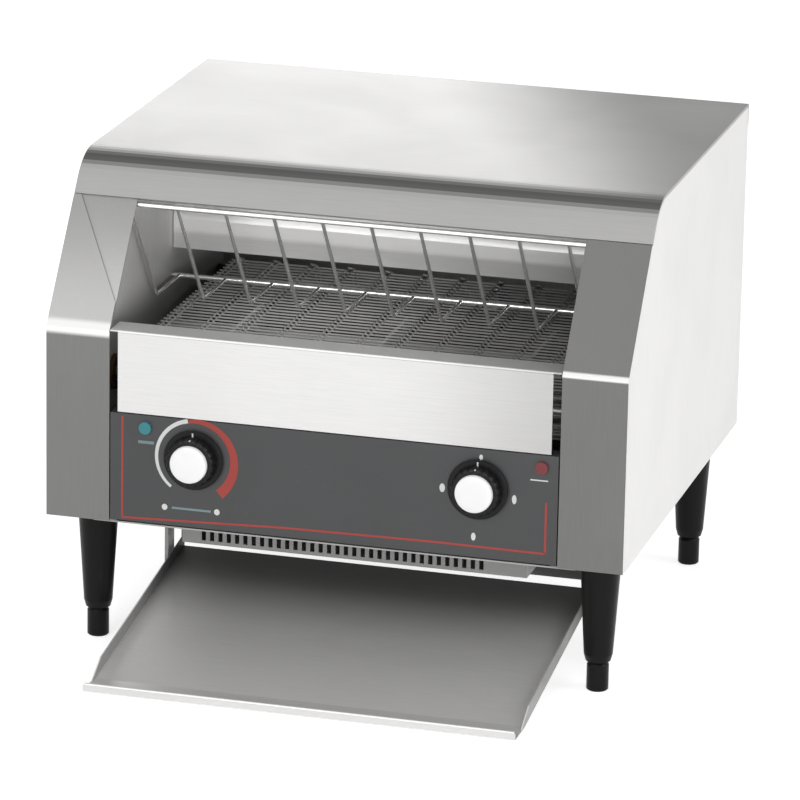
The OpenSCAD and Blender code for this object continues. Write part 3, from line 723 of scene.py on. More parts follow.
@dataclass(frozen=True)
class Steel:
    """Sheet, bar or wire in bare steel, with brushed grain and smears, and with painted light in
    its tone: another tone on each side, a painted highlight along a fold, painted shade on bends
    and a broad painted sheen.
    """

    name: str
    tones: Tones
    roughness: float = 0.34
    metallic: float = 0.7
    grain: Grain = Grain.ACROSS
    grain_depth: float = 0.12
    # The highlight fields set a painted highlight: a bright band along a fold line.
    highlight_width: float = 0.0
    highlight_height: float = CREASE_HEIGHT
    highlight_tone: float = 0.92
    colour: tuple[float, float, float] = (1.0, 0.995, 0.985)
    # Painted shade: the tone of the dark band on bends.
    bend_shade: float = 0.0
    # Painted sheen: a broad painted reflection that ends, or painted shade that deepens, across a
    # soft line.
    sheen: Sheen | None = None

    def build(self, shop: Workshop) -> bpy.types.Material:
        """Builds the material.

        Args:
            shop: The shared node groups.

        Returns:
            The material.
        """
        material, board, shader = shop.start(self.name)
        # Painted shade and painted reflection: each side of the sheet gets its own tone.
        tone = shop.place(board, "facing", self.tones.inputs()).outputs["Tone"]
        grain = shop.place(
            board, "grain", {"Stretch": self.grain.value, "Depth": self.grain_depth}
        )
        cloud = shop.place(board, "smudge", {"Size": 9.0}).outputs["Cloud"]
        streak = board.math("MULTIPLY", board.math("SUBTRACT", grain.outputs[0], 0.5), 0.22)
        smear = board.math("MULTIPLY", cloud, -0.03)
        uneven = board.math("ADD", board.math("ADD", 1.0, streak), smear)
        tone = board.math("MULTIPLY", tone, uneven)
        # Painted highlight: a bright band along the fold.
        if self.highlight_width > 0:
            fold = shop.place(
                board,
                "fold",
                {"Height": CASING_ZERO.z + self.highlight_height * MM, "Width": self.highlight_width * MM},
            )
            tone = board.blend(fold.outputs["Mask"], tone, self.highlight_tone)
        # Painted sheen: lighter or darker beyond a soft line.
        if self.sheen:
            sheen = shop.place(
                board,
                "sheen",
                {"Along": self.sheen.along, "Start": self.sheen.start, "End": self.sheen.end},
            )
            mask = sheen.outputs["Flat mask" if self.sheen.flat_only else "Mask"]
            tone = board.math("MULTIPLY", tone, board.blend(mask, 1.0, self.sheen.shade))
        # Painted shade: a dark band on bends.
        if self.bend_shade > 0:
            bend = shop.place(board, "bend", {})
            tone = board.blend(bend.outputs["Mask"], tone, self.bend_shade)
        rough = board.math("ADD", board.math("MULTIPLY", cloud, 0.02), self.roughness)
        # The painted tone sets both the base colour and the specular tint.
        metal = board.tint(tone, self.colour)
        board.tree.links.new(metal, shader.inputs["Base Color"])
        board.tree.links.new(metal, shader.inputs["Specular Tint"])
        board.tree.links.new(rough, shader.inputs["Roughness"])
        board.tree.links.new(grain.outputs["Normal"], shader.inputs["Normal"])
        shader.inputs["Metallic"].default_value = self.metallic
        return material


@dataclass(frozen=True)
class Moulding:
    """Plastic, paint, ceramic or ink, with fine scuffs that dull it."""

    name: str
    colour: tuple[float, float, float]
    roughness: float = 0.4
    scuff: float = 0.25
    coat: float = 0.0
    bump: float = 0.05
    # glow lights a lamp's lens; on the white cap it is painted light, though the cap is no lamp.
    glow: float = 0.0
    shine: float = 0.5

    def build(self, shop: Workshop) -> bpy.types.Material:
        """Builds the material.

        Args:
            shop: The shared node groups.

        Returns:
            The material.
        """
        material, board, shader = shop.start(self.name)
        scuffs = shop.place(board, "scuff", {"Size": 240.0, "Depth": self.bump})
        cloud = shop.place(board, "smudge", {"Size": 16.0}).outputs["Cloud"]
        amount = board.math("MULTIPLY", scuffs.outputs["Mask"], self.scuff)
        smear = board.math("MULTIPLY", cloud, -0.06)
        shade = board.math("ADD", 1.0, board.math("ADD", amount, smear))
        duller = board.math("MULTIPLY", amount, 0.5)
        dimmer = board.math("MULTIPLY", cloud, 0.06)
        rough = board.math("ADD", self.roughness, board.math("ADD", duller, dimmer))
        board.tree.links.new(board.tint(shade, self.colour), shader.inputs["Base Color"])
        board.tree.links.new(rough, shader.inputs["Roughness"])
        board.tree.links.new(scuffs.outputs["Normal"], shader.inputs["Normal"])
        shader.inputs["Coat Weight"].default_value = self.coat
        shader.inputs["Specular IOR Level"].default_value = self.shine
        # Emission: a lamp's lens lights up; on the white cap it is painted light.
        shader.inputs["Emission Color"].default_value = (*self.colour, 1.0)
        shader.inputs["Emission Strength"].default_value = self.glow
        return material


@dataclass(frozen=True)
class Sheath:
    """Heater tube, blued and browned in patches by its own heat."""

    name: str
    cold: tuple[float, float, float] = (0.10, 0.09, 0.085)
    hot: tuple[float, float, float] = (0.20, 0.13, 0.10)

    def build(self, shop: Workshop) -> bpy.types.Material:
        """Builds the material.

        Args:
            shop: The shared node groups.

        Returns:
            The material.
        """
        material, board, shader = shop.start(self.name)
        cloud = shop.place(board, "smudge", {"Size": 24.0}).outputs["Cloud"]
        scuffs = shop.place(board, "scuff", {"Size": 420.0, "Depth": 0.12})
        mixed = board.add(
            "Mix",
            {"Factor": cloud, COLOUR_A: (*self.cold, 1.0), COLOUR_B: (*self.hot, 1.0)},
            data_type="RGBA",
        )
        board.tree.links.new(mixed.outputs[COLOUR_RESULT], shader.inputs["Base Color"])
        board.tree.links.new(scuffs.outputs["Normal"], shader.inputs["Normal"])
        shader.inputs["Metallic"].default_value = 0.6
        shader.inputs["Roughness"].default_value = 0.5
        return material


class Finish(Enum):
    """Every finish on the toaster. The steel finishes carry painted light: each side of a sheet
    has a painted tone for the way light falls on it.
    """

    # Painted reflection and shade: the top darker towards the rear right beyond a soft line, a
    # dark band on the bend, and another tone on each side.
    COVER = Steel(
        "cover_steel",
        Tones(front=0.40, top=0.55, back=0.50, right=0.7),
        roughness=0.36,
        metallic=0.6,
        bend_shade=0.12,
        sheen=Sheen((1.0, 0.45, 0.0), 0.06, 0.26, 0.40, flat_only=True),
    )
    # Painted light: the leaning face far lighter than the upright stile and darker towards its
    # top, with a painted highlight along the crease.
    LEFT_SIDE = Steel(
        "left_side_steel",
        Tones(front=0.22, top=1.2, left=0.70, right=0.35),
        roughness=0.38,
        metallic=0.5,
        grain=Grain.UPRIGHT,
        highlight_width=6.0,
        sheen=Sheen((0.0, 0.0, 1.0), 0.27, 0.36, 0.66),
    )
    # Painted light: the outer side near white, the front and top dark grey, and a thin painted
    # highlight along the crease.
    RIGHT_SIDE = Steel(
        "right_side_steel",
        Tones(front=0.205, top=0.255, right=0.97, left=0.35),
        roughness=0.45,
        metallic=0.2,
        grain=Grain.UPRIGHT,
        highlight_width=2.5,
    )
    # Painted shade: another tone on each side, darker towards the top of the plate.
    CORNER = Steel(
        "corner_steel",
        Tones(front=0.50, top=0.85),
        roughness=0.38,
        metallic=0.5,
        grain=Grain.UPRIGHT,
        sheen=Sheen((0.0, 0.0, 1.0), 0.27, 0.36, 0.6),
    )
    # Painted reflection: lighter on the left and darker towards the right.
    FASCIA = Steel(
        "fascia_steel",
        Tones(front=0.81, top=0.75),
        roughness=0.30,
        metallic=0.3,
        sheen=Sheen((1.0, 0.0, 0.0), 0.03, 0.19, 0.70),
    )
    # Painted shade: another tone on each side, darker underneath.
    DUCT = Steel(
        "duct_steel",
        Tones(front=0.27, top=0.4, under=0.25),
        roughness=0.40,
        metallic=0.5,
    )
    # Painted light: another tone on each side of the sheet.
    BACK = Steel(
        "back_steel",
        Tones(front=0.4, top=0.5, back=0.55),
        roughness=0.40,
        metallic=0.6,
        grain=Grain.UPRIGHT,
    )
    # Painted shade: the inner walls darker towards their bottom, by the belt.
    WALL = Steel(
        "inner_wall_steel",
        Tones(front=0.5, top=0.7, right=0.85, left=0.85),
        roughness=0.45,
        metallic=0.1,
        grain=Grain.UPRIGHT,
        sheen=Sheen((0.0, 0.0, -1.0), -0.285, -0.24, 0.3),
    )
    # Painted light: a bright painted band across the hood's upper part, brighter than steel can
    # be, darker towards the right and on its back and underside.
    HOOD = Steel(
        "hood_steel",
        Tones(front=0.95, top=1.0, back=0.4, under=0.2),
        roughness=0.28,
        metallic=0.3,
        highlight_width=8.0,
        highlight_height=190.0,
        highlight_tone=1.5,
        sheen=Sheen((1.0, 0.0, 0.0), -0.05, 0.12, 0.68),
    )
    # Painted light: another tone on each side of the sheet.
    PLAIN = Steel(
        "plain_steel",
        Tones(front=0.40, top=0.45, back=0.4),
        roughness=0.45,
        metallic=0.6,
        grain=Grain.NONE,
    )
    # Painted shade: the tray darker towards its back, under the toaster's body.
    TRAY = Steel(
        "tray_steel",
        Tones(front=0.75, top=0.87, left=0.6, right=0.5),
        roughness=0.36,
        metallic=0.5,
        sheen=Sheen((0.0, 1.0, 0.0), -0.132, -0.012, 0.16),
    )
    # Painted light: the belt lighter on the left and darker towards the right, with another tone
    # on each side.
    BELT = Steel(
        "belt_steel",
        Tones(front=0.85, top=0.95, right=0.85, left=0.85, back=0.7),
        roughness=0.42,
        metallic=0.3,
        grain=Grain.NONE,
        sheen=Sheen((1.0, 0.0, 0.0), -0.05, 0.10, 0.5),
    )
    # Painted shade: darker on the back and underside.
    CHROME = Steel(
        "chrome_rod",
        Tones(front=1.0, top=1.0, right=1.0, left=1.0, back=0.8, under=0.6),
        roughness=0.25,
        metallic=0.75,
        grain=Grain.NONE,
        grain_depth=0.02,
    )
    # Painted light: a slightly lighter tone on top.
    TURNED = Steel(
        "turned_steel",
        Tones(front=0.55, top=0.6, right=0.55, left=0.55),
        roughness=0.28,
        metallic=0.9,
        grain=Grain.NONE,
        grain_depth=0.05,
    )
    # Painted light: a slightly lighter tone on top.
    BRONZE = Steel(
        "sintered_bronze",
        Tones(front=0.12, top=0.16, right=0.12, left=0.12),
        roughness=0.45,
        metallic=0.9,
        grain=Grain.NONE,
        grain_depth=0.08,
        colour=(0.86, 0.58, 0.30),
    )
    SHEATH = Sheath("heater_sheath")
    CERAMIC = Moulding("ceramic", (0.78, 0.74, 0.64), roughness=0.35, scuff=0.12)
    PANEL = Moulding("panel_film", (0.054, 0.055, 0.057), roughness=0.42, scuff=0.3, bump=0.08)
    RED_INK = Moulding("red_ink", (0.36, 0.045, 0.035), roughness=0.45, scuff=0.15)
    WHITE_INK = Moulding("white_ink", (0.72, 0.72, 0.71), roughness=0.5, scuff=0.1)
    GREY_INK = Moulding("grey_ink", (0.19, 0.26, 0.27), roughness=0.5, scuff=0.1)
    BLACK = Moulding(
        "black_moulding", (0.008, 0.008, 0.009), roughness=0.34, scuff=0.5, shine=0.22
    )
    LEG = Moulding("leg_gloss", (0.006, 0.0055, 0.0055), roughness=0.3, scuff=0.4, shine=0.15)
    # Painted light: the white cap glows a little, though it is no lamp.
    WHITE = Moulding(
        "white_cap", (0.92, 0.92, 0.92), roughness=0.4, scuff=0.05, coat=0.2, glow=0.08
    )
    DARK = Moulding("dark_moulding", (0.05, 0.055, 0.06), roughness=0.5)
    CREAM = Moulding("cream_moulding", (0.62, 0.58, 0.46), roughness=0.45)
    MOTOR = Moulding("motor_paint", (0.12, 0.13, 0.14), roughness=0.5, scuff=0.5)
    TEAL = Moulding(
        "teal_lens", (0.015, 0.20, 0.23), roughness=0.2, scuff=0.05, coat=0.3, bump=0.02, glow=0.06
    )
    RED_LENS = Moulding(
        "red_lens", (0.17, 0.009, 0.014), roughness=0.2, scuff=0.05, coat=0.3, bump=0.02, glow=0.02
    )


SLOT_FINISH = {
    "satin_steel": Finish.PLAIN,
    "bright_steel": Finish.FASCIA,
    "inner_steel": Finish.PLAIN,
    "panel_print": Finish.PANEL,
    "belt_wire": Finish.BELT,
    "chrome_rod": Finish.CHROME,
    "turned_steel": Finish.TURNED,
    "bronze": Finish.BRONZE,
    "heater_sheath": Finish.SHEATH,
    "ceramic": Finish.CERAMIC,
    "motor_paint": Finish.MOTOR,
    "black_plastic": Finish.BLACK,
    "leg_black": Finish.LEG,
    "white_plastic": Finish.WHITE,
    "dark_plastic": Finish.DARK,
    "cream_plastic": Finish.CREAM,
    "teal_lens": Finish.TEAL,
    "red_lens": Finish.RED_LENS,
}
NODE_FINISH = {
    "top_cover": Finish.COVER,
    "left_side_panel": Finish.LEFT_SIDE,
    "right_side_panel": Finish.RIGHT_SIDE,
    "left_corner_plate": Finish.CORNER,
    "air_duct": Finish.DUCT,
    "back_panel": Finish.BACK,
    "left_inner_wall": Finish.WALL,
    "right_inner_wall": Finish.WALL,
    "tunnel_hood": Finish.HOOD,
    "toast_tray": Finish.TRAY,
}


class Paintshop:
    """Builds each finish once and puts it on solids and pieces."""

    def __init__(self) -> None:
        """Builds every finish."""
        shop = Workshop()
        self.materials = {finish: finish.value.build(shop) for finish in Finish}

    def __getitem__(self, finish: Finish) -> bpy.types.Material:
        """Gives the material of a finish."""
        return self.materials[finish]

    def coat_solids(self, record: dict) -> None:
        """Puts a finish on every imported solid.

        Args:
            record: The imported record, whose subparts name each solid's slot.
        """
        slots = {part["node"]: part["material_slot"] for part in record["subparts"]}
        for name, solid in frame["nodes"].items():
            finish = NODE_FINISH.get(name, SLOT_FINISH[slots[name]])
            solid.data.materials.clear()
            solid.data.materials.append(self[finish])
            log.info("solid %s: %s", name, finish.name.lower())


# ---------------------------------------------------------------- sub-assemblies


@dataclass
class PrintedPanel:
    """Lines, scale and marks printed on the control panel.

    A scale is its first angle, its last angle and its width at each. A switch mark is its place
    from the switch's middle, its height on the panel, its width and its tallness.
    """

    ink: float = 0.15
    border: float = 1.7
    border_inset: tuple[float, float] = (10.0, 9.0)
    border_bow: tuple[tuple[float, float], ...] = ((-103.0, 7.0), (-39.0, 9.5), (80.0, 11.0))
    border_ends: tuple[float, float] = (4.5, 10.5)
    border_stop: float = 52.0
    dial_x: float = -112.0
    dial_z: float = 58.0
    dial_radius: float = 29.5
    arc_steps: int = 40
    low_scale: tuple[float, float, float, float] = (100.0, 232.0, 3.4, 2.2)
    high_scale: tuple[float, float, float, float] = (-52.0, 99.0, 8.4, 3.0)
    mark_z: float = 16.5
    dial_marks: tuple[float, float] = (-24.0, 19.0)
    dial_bar: tuple[float, float] = (-18.0, 14.0)
    switch_x: float = 118.0
    switch_marks: tuple[tuple[float, float, float, float], ...] = (
        (-29.0, 55.7, 4.4, 7.0),
        (28.6, 52.0, 3.6, 7.4),
        (-3.3, 18.6, 3.6, 6.4),
        (1.5, 83.5, 3.0, 4.2),
    )
    heat_bar: tuple[tuple[float, float], ...] = ((159.0, 69.5), (173.0, 69.5))
    power_bar: tuple[tuple[float, float], ...] = ((-158.0, 68.0), (-145.0, 68.0))

    def build(self, paints: Paintshop) -> None:
        """Builds every print.

        Args:
            paints: The finishes.
        """
        self.build_border(paints)
        self.build_scale(paints)
        self.build_marks(paints)

    def build_border(self, paints: Paintshop) -> None:
        """Builds the red line round three sides of the panel."""
        low, high = casing_box("control_panel")
        left, right = low.x + self.border_inset[0], high.x - self.border_inset[1]
        low_left, low_right = self.border_ends
        shape = bmesh.new()
        path = [(left, high.z - 2.0), (left, low_left), *self.border_bow, (right, low_right)]
        add_print(shape, path, self.border, self.ink)
        add_print(shape, [(right, low_right), (right, self.border_stop)], self.border, self.ink)
        finish_piece("panel_border", shape, paints[Finish.RED_INK])

    def build_scale(self, paints: Paintshop) -> None:
        """Builds the speed scale: a thin white arc that grows into a broad red one."""
        white = bmesh.new()
        self.add_arc(white, *self.low_scale)
        finish_piece("speed_scale_low", white, paints[Finish.WHITE_INK])
        red = bmesh.new()
        self.add_arc(red, *self.high_scale)
        finish_piece("speed_scale_high", red, paints[Finish.RED_INK])

    def add_arc(
        self, shape: bmesh.types.BMesh, start: float, end: float, first: float, last: float
    ) -> None:
        """Adds an arc whose width changes evenly.

        Args:
            shape: The shape that it is added to.
            start: Angle where it starts, in degrees from +X towards +Z.
            end: Angle where it ends.
            first: Its width at the start.
            last: Its width at the end.
        """
        inner = shape.verts.new((self.dial_radius, 0.0, 0.0))
        outer = shape.verts.new((self.dial_radius + first, 0.0, 0.0))
        spoke = shape.edges.new((inner, outer))
        bmesh.ops.spin(
            shape,
            geom=[inner, outer, spoke],
            cent=(0.0, 0.0, 0.0),
            axis=(0.0, -1.0, 0.0),
            angle=math.radians(end - start),
            steps=self.arc_steps,
        )
        for vert in shape.verts:
            angle = math.atan2(vert.co.z, vert.co.x) % math.tau
            share = min(1.0, angle / math.radians(end - start))
            if vert.co.length > self.dial_radius + 0.01:
                width = first + (last - first) * share
                vert.co *= (self.dial_radius + width) / vert.co.length
        turn = Matrix.Rotation(math.radians(-start), 4, "Y")
        place = Matrix.Translation((self.dial_x, 0.0, self.dial_z)) @ turn
        bmesh.ops.transform(shape, matrix=place, verts=shape.verts)
        raise_print(shape, list(shape.faces), self.ink)

    def build_marks(self, paints: Paintshop) -> None:
        """Builds the small marks round both knobs and under the lamps."""
        white = bmesh.new()
        for shift in self.dial_marks:
            add_dot(white, self.dial_x + shift, self.mark_z, 4.6, 5.0, self.ink)
        for shift, z, width, height in self.switch_marks:
            add_dot(white, self.switch_x + shift, z, width, height, self.ink)
        add_print(white, list(self.heat_bar), 1.0, self.ink)
        finish_piece("panel_marks", white, paints[Finish.WHITE_INK])
        grey = bmesh.new()
        between = [(self.dial_x + shift, self.mark_z) for shift in self.dial_bar]
        add_print(grey, between, 1.8, self.ink)
        add_print(grey, list(self.power_bar), 2.4, self.ink)
        finish_piece("panel_labels", grey, paints[Finish.GREY_INK])


@dataclass
class Knob:
    """Fluted grip on a skirt, with a pointer line and a white cap."""

    name: str
    body: str
    x: float
    z: float = 58.0
    skirt_radius: float = 24.0
    grip_radius: float = 20.4
    cap_radius: float = 15.0
    height: float = 18.0
    flutes: int = 20
    flute_depth: float = 0.9
    skirt_top: float = 4.6
    stem_length: float = 18.0
    stem_radius: float = 3.0
    pointer_half: float = 0.6

    def place(self) -> Matrix:
        """Gives the matrix that points the knob's own Z axis to the front."""
        return Matrix.Translation((self.x, 0.0, self.z)) @ Matrix.Rotation(math.pi / 2, 4, "X")

    def build(self, paints: Paintshop) -> None:
        """Builds the grip with its pointer, and the cap.

        Args:
            paints: The finishes.
        """
        grip = bmesh.new()
        self.add_skirt(grip)
        self.add_grip(grip)
        finish_piece(
            f"{self.name}_grip",
            grip,
            paints[Finish.BLACK],
            self.body,
            (f"{self.name}_knob",),
        )
        pointer = bmesh.new()
        half = self.pointer_half
        add_block(
            pointer,
            Vector((-half, self.cap_radius + 1.6, 3.0)),
            Vector((half, self.skirt_radius - 1.4, self.skirt_top + 0.15)),
        )
        add_block(
            pointer,
            Vector((-half, self.cap_radius + 1.0, 4.0)),
            Vector((half, self.grip_radius - 1.6, self.height - 5.4)),
        )
        bmesh.ops.transform(pointer, matrix=self.place(), verts=pointer.verts)
        finish_piece(
            f"{self.name}_pointer", pointer, paints[Finish.WHITE_INK], self.body
        )
        cap = bmesh.new()
        top = self.height
        add_turned(
            cap,
            [
                (0.0, top - 5.0),
                (self.cap_radius - 0.4, top - 5.0),
                (self.cap_radius, top - 4.4),
                (self.cap_radius, top - 2.0),
                (self.cap_radius - 0.5, top - 1.1),
                (self.cap_radius - 1.6, top - 0.5),
                (self.cap_radius * 0.6, top - 0.1),
                (self.cap_radius * 0.3, top),
                (0.0, top),
            ],
            self.place(),
        )
        finish_piece(
            f"{self.name}_cap_dome",
            cap,
            paints[Finish.WHITE],
            self.body,
            (f"{self.name}_cap",),
        )

    def add_skirt(self, shape: bmesh.types.BMesh) -> None:
        """Adds the flat skirt and the stem behind it.

        Args:
            shape: The shape that they are added to.
        """
        radius = self.skirt_radius
        add_turned(
            shape,
            [
                (0.0, 1.5),
                (radius - 0.5, 1.5),
                (radius, 2.0),
                (radius, 3.6),
                (radius - 0.8, self.skirt_top - 0.1),
                (0.0, self.skirt_top),
            ],
            self.place(),
            96,
        )
        stem, back = self.stem_radius, -self.stem_length
        profile = [(0.0, back), (stem, back), (stem, 2.0), (0.0, 2.0)]
        add_turned(shape, profile, self.place(), 32)

    def add_grip(self, shape: bmesh.types.BMesh) -> None:
        """Adds the fluted grip, drawn up from its outline with a slight taper.

        Args:
            shape: The shape that it is added to.
        """
        ring = bmesh.ops.create_circle(
            shape,
            cap_ends=True,
            segments=self.flutes * 8,
            radius=self.grip_radius,
            matrix=Matrix.Translation((0.0, 0.0, 4.0)),
        )["verts"]
        for vert in ring:
            wave = math.cos(self.flutes * math.atan2(vert.co.y, vert.co.x))
            dip = self.flute_depth * max(0.0, wave) ** 0.7
            vert.co.xy *= 1.0 - dip / self.grip_radius
        verts = list(ring)
        face = next(iter(set.intersection(*(set(v.link_faces) for v in ring))))
        levels = ((self.height - 6.5, 0.955), (self.height - 5.2, 0.92), (self.height - 4.6, 0.87))
        height, width = 4.0, 1.0
        for level, share in levels:
            made = bmesh.ops.extrude_face_region(shape, geom=[face])["geom"]
            face = next(g for g in made if isinstance(g, bmesh.types.BMFace))
            ratio = share / width
            bmesh.ops.scale(shape, vec=(ratio, ratio, 1.0), verts=face.verts)
            bmesh.ops.translate(shape, vec=(0.0, 0.0, level - height), verts=face.verts)
            height, width = level, share
            verts += list(face.verts)
        bmesh.ops.transform(shape, matrix=self.place(), verts=verts)


@dataclass
class WovenBelt:
    """Endless flat belt: each cross wire hooks round the one before it."""

    pitch_target: float = 8.4
    wire_radius: float = 0.8
    hooks: int = 12
    hook_width: float = 5.0
    hook_lean: float = 0.6
    hook_reach: float = 0.9
    rise_share: float = 0.55
    selvedge: float = 6.0

    def loop(self) -> tuple[float, float, float, float, float]:
        """Finds the belt's loop.

        Returns:
            Y of both shafts, height of both, radius of the wires' centre line, half the width.
        """
        low, high = casing_box("conveyor_belt")
        outer = (high.z - low.z) / 2
        radius = outer - self.wire_radius
        return low.y + outer, high.y - outer, (low.z + high.z) / 2, radius, high.x

    def build(self, paints: Paintshop) -> None:
        """Builds the belt in place of its plain solid.

        Args:
            paints: The finishes.
        """
        front, back, height, radius, half = self.loop()
        run = back - front
        length = 2 * run + math.tau * radius
        count = round(length / self.pitch_target)
        pitch = length / count
        shape = bmesh.new()
        add_wire(shape, self.wire_path(half, pitch), self.wire_radius, 6)
        first = list(shape.verts) + list(shape.edges) + list(shape.faces)
        for i in range(1, count):
            made = bmesh.ops.duplicate(shape, geom=first)["geom"]
            place = self.place_on_loop(i * pitch, front, back, height, radius)
            bmesh.ops.transform(shape, matrix=place, verts=only_verts(made))
        start = self.place_on_loop(0.0, front, back, height, radius)
        bmesh.ops.transform(shape, matrix=start, verts=only_verts(first))
        finish_piece(
            "woven_belt",
            shape,
            paints[Finish.BELT],
            replaces=("conveyor_belt",),
        )

    def wire_path(self, half: float, pitch: float) -> list[Vector]:
        """Lays out one cross wire flat, with a hook back to the wire before it at each strand.

        Args:
            half: Half the belt's width.
            pitch: Distance between wires.

        Returns:
            Points of the wire's centre line.
        """
        rise = self.rise_share * self.wire_radius
        lean, reach = self.hook_lean, self.hook_reach
        spacing = (2 * half - 2 * self.selvedge) / (self.hooks - 1)
        points = [Vector((-half, 0.0, 0.0))]
        for i in range(self.hooks):
            x = self.selvedge - half + i * spacing
            left, right = x - self.hook_width / 2, x + self.hook_width / 2
            points += [
                Vector((left, 0.0, 0.0)),
                Vector((left + lean, -pitch * 0.5, rise)),
                Vector((left + reach, -pitch - lean, rise)),
                Vector((right - reach, -pitch - lean, -rise)),
                Vector((right - lean, -pitch * 0.5, -rise)),
                Vector((right, 0.0, 0.0)),
            ]
        points.append(Vector((half, 0.0, 0.0)))
        return points

    def place_on_loop(
        self, along: float, front: float, back: float, height: float, radius: float
    ) -> Matrix:
        """Finds where a wire sits on the loop.

        Args:
            along: Distance along the loop from the top of the front shaft.
            front: Y of the front shaft.
            back: Y of the rear shaft.
            height: Height of both shafts.
            radius: Radius of the wires' centre line.

        Returns:
            The matrix from the flat wire to its place.
        """
        run, arc = back - front, math.pi * radius
        if along < run:
            centre, turn, shift = front, 0.0, along
        elif along < run + arc:
            centre, turn, shift = back, (along - run) / radius, 0.0
        elif along < 2 * run + arc:
            centre, turn, shift = back, math.pi, along - run - arc
        else:
            centre, turn, shift = front, math.pi + (along - 2 * run - arc) / radius, 0.0
        return (
            Matrix.Translation((0.0, centre, height))
            @ Matrix.Rotation(-turn, 4, "X")
            @ Matrix.Translation((0.0, shift, radius))
        )


@dataclass
class BackTrim:
    """Pressed hoods over the louvre slots, and cross-slotted screw heads."""

    louvre_rows: int = 7
    louvre_pitch: float = 12.0
    louvre_width: float = 90.0
    louvre_inset: float = 102.2
    louvre_drop: float = 120.8
    hood_depth: float = 1.9
    screw_radius: float = 3.5
    top_screws: int = 4
    top_screw_inset: float = 46.0
    side_screw_heights: tuple[float, ...] = (40.0, 130.0, 220.0)

    def build(self, paints: Paintshop) -> None:
        """Builds the hoods and the screws.

        Args:
            paints: The finishes.
        """
        high = casing_box("back_panel")[1]
        hoods = bmesh.new()
        for side in (-1, 1):
            for row in range(self.louvre_rows):
                x = side * (high.x - self.louvre_inset)
                z = high.z - self.louvre_drop + row * self.louvre_pitch
                self.add_hood(hoods, x, high.y, z)
        finish_piece("louvre_hoods", hoods, paints[Finish.BACK])
        self.build_screws(paints)

    def add_hood(self, shape: bmesh.types.BMesh, x: float, y: float, z: float) -> None:
        """Adds one pressed hood above its slot.

        Args:
            shape: The shape that it is added to.
            x: Its middle across.
            y: The back panel's outer face.
            z: Height of the slot's lower edge.
        """
        half = self.louvre_width / 2 + 1.5
        verts = add_block(
            shape,
            Vector((x - half, y - 0.4, z + 3.4)),
            Vector((x + half, y + self.hood_depth, z + 7.2)),
        )
        outer = [v for v in verts if v.co.y > y]
        for vert in outer:
            vert.co.x += 2.5 if vert.co.x < x else -2.5
            vert.co.z -= 1.6 if vert.co.z > z + 5.0 else 0.9
        edges = {e for v in outer for e in v.link_edges}
        bevel_edges(shape, list(edges), 0.6)

    def build_screws(self, paints: Paintshop) -> None:
        """Builds a domed head on each casing screw, with a dark cross of painted shade for its
        slot.

        Args:
            paints: The finishes.
        """
        low, high = casing_box("casing_screws")
        top_y, edge_y = high.y - 2.0, casing_box("back_panel")[1].y
        half = (high.x - low.x) / 2 - self.screw_radius
        top_z = high.z - self.screw_radius
        gaps = self.top_screws - 1
        step = (half - self.top_screw_inset) * 2 / gaps
        places = [((i - gaps / 2) * step, top_y, top_z) for i in range(self.top_screws)]
        for side in (-1, 1):
            for z in self.side_screw_heights:
                places.append((side * half, edge_y, z))
        heads = bmesh.new()
        slots = bmesh.new()
        for x, y, z in places:
            self.add_head(heads, slots, Vector((x, y, z)))
        finish_piece(
            "screw_heads",
            heads,
            paints[Finish.TURNED],
            replaces=("casing_screws",),
        )
        finish_piece("screw_slot_shade", slots, paints[Finish.DARK])

    def add_head(self, heads: bmesh.types.BMesh, slots: bmesh.types.BMesh, at: Vector) -> None:
        """Adds one domed head and the dark cross on it: painted shade that stands for the slot's
        recess.

        Args:
            heads: The shape of all heads.
            slots: The shape of all crosses.
            at: Middle of the head's seat.
        """
        radius = self.screw_radius
        place = Matrix.Translation(at) @ Matrix.Rotation(-math.pi / 2, 4, "X")
        profile = [
            (0.0, 0.0),
            (radius, 0.0),
            (radius, 0.5),
            (radius * 0.86, 1.2),
            (radius * 0.5, 1.75),
            (0.0, 1.9),
        ]
        add_turned(heads, profile, place, 20)
        # Painted shade: dark blocks stand for the shade in the cross slot.
        for long, short in ((1.5, 0.32), (0.32, 1.5)):
            add_block(
                slots,
                at + Vector((-long, 1.6, -short)),
                at + Vector((long, 1.98, short)),
            )


@dataclass
class TrayTrim:
    """Rolled hem on the tray's front lip."""

    hem_radius: float = 1.5
    hem_lift: float = 5.0

    def build(self, paints: Paintshop) -> None:
        """Builds the hem.

        Args:
            paints: The finishes.
        """
        low, high = casing_box("toast_tray")
        shape = bmesh.new()
        y, z = low.y + self.hem_radius, low.z + self.hem_lift
        ends = low.x + 1.0, high.x - 1.0
        add_wire(shape, [Vector((ends[0], y, z)), Vector((ends[1], y, z))], self.hem_radius, 12)
        finish_piece("tray_hem", shape, paints[Finish.TRAY], "tray")


@dataclass
class MouthTrim:
    """Rounded front edge of the loading shelf."""

    nose_radius: float = 1.4
    nose_inset: float = 6.5

    def build(self, paints: Paintshop) -> None:
        """Builds the shelf's rounded nose.

        Args:
            paints: The finishes.
        """
        low, high = casing_box("front_fascia")
        shape = bmesh.new()
        y, z = low.y + self.nose_radius * 0.7, high.z - self.nose_radius * 0.9
        ends = low.x + self.nose_inset, high.x - self.nose_inset
        add_wire(shape, [Vector((ends[0], y, z)), Vector((ends[1], y, z))], self.nose_radius, 12)
        finish_piece("shelf_nose", shape, paints[Finish.FASCIA])


# ---------------------------------------------------------------- studio


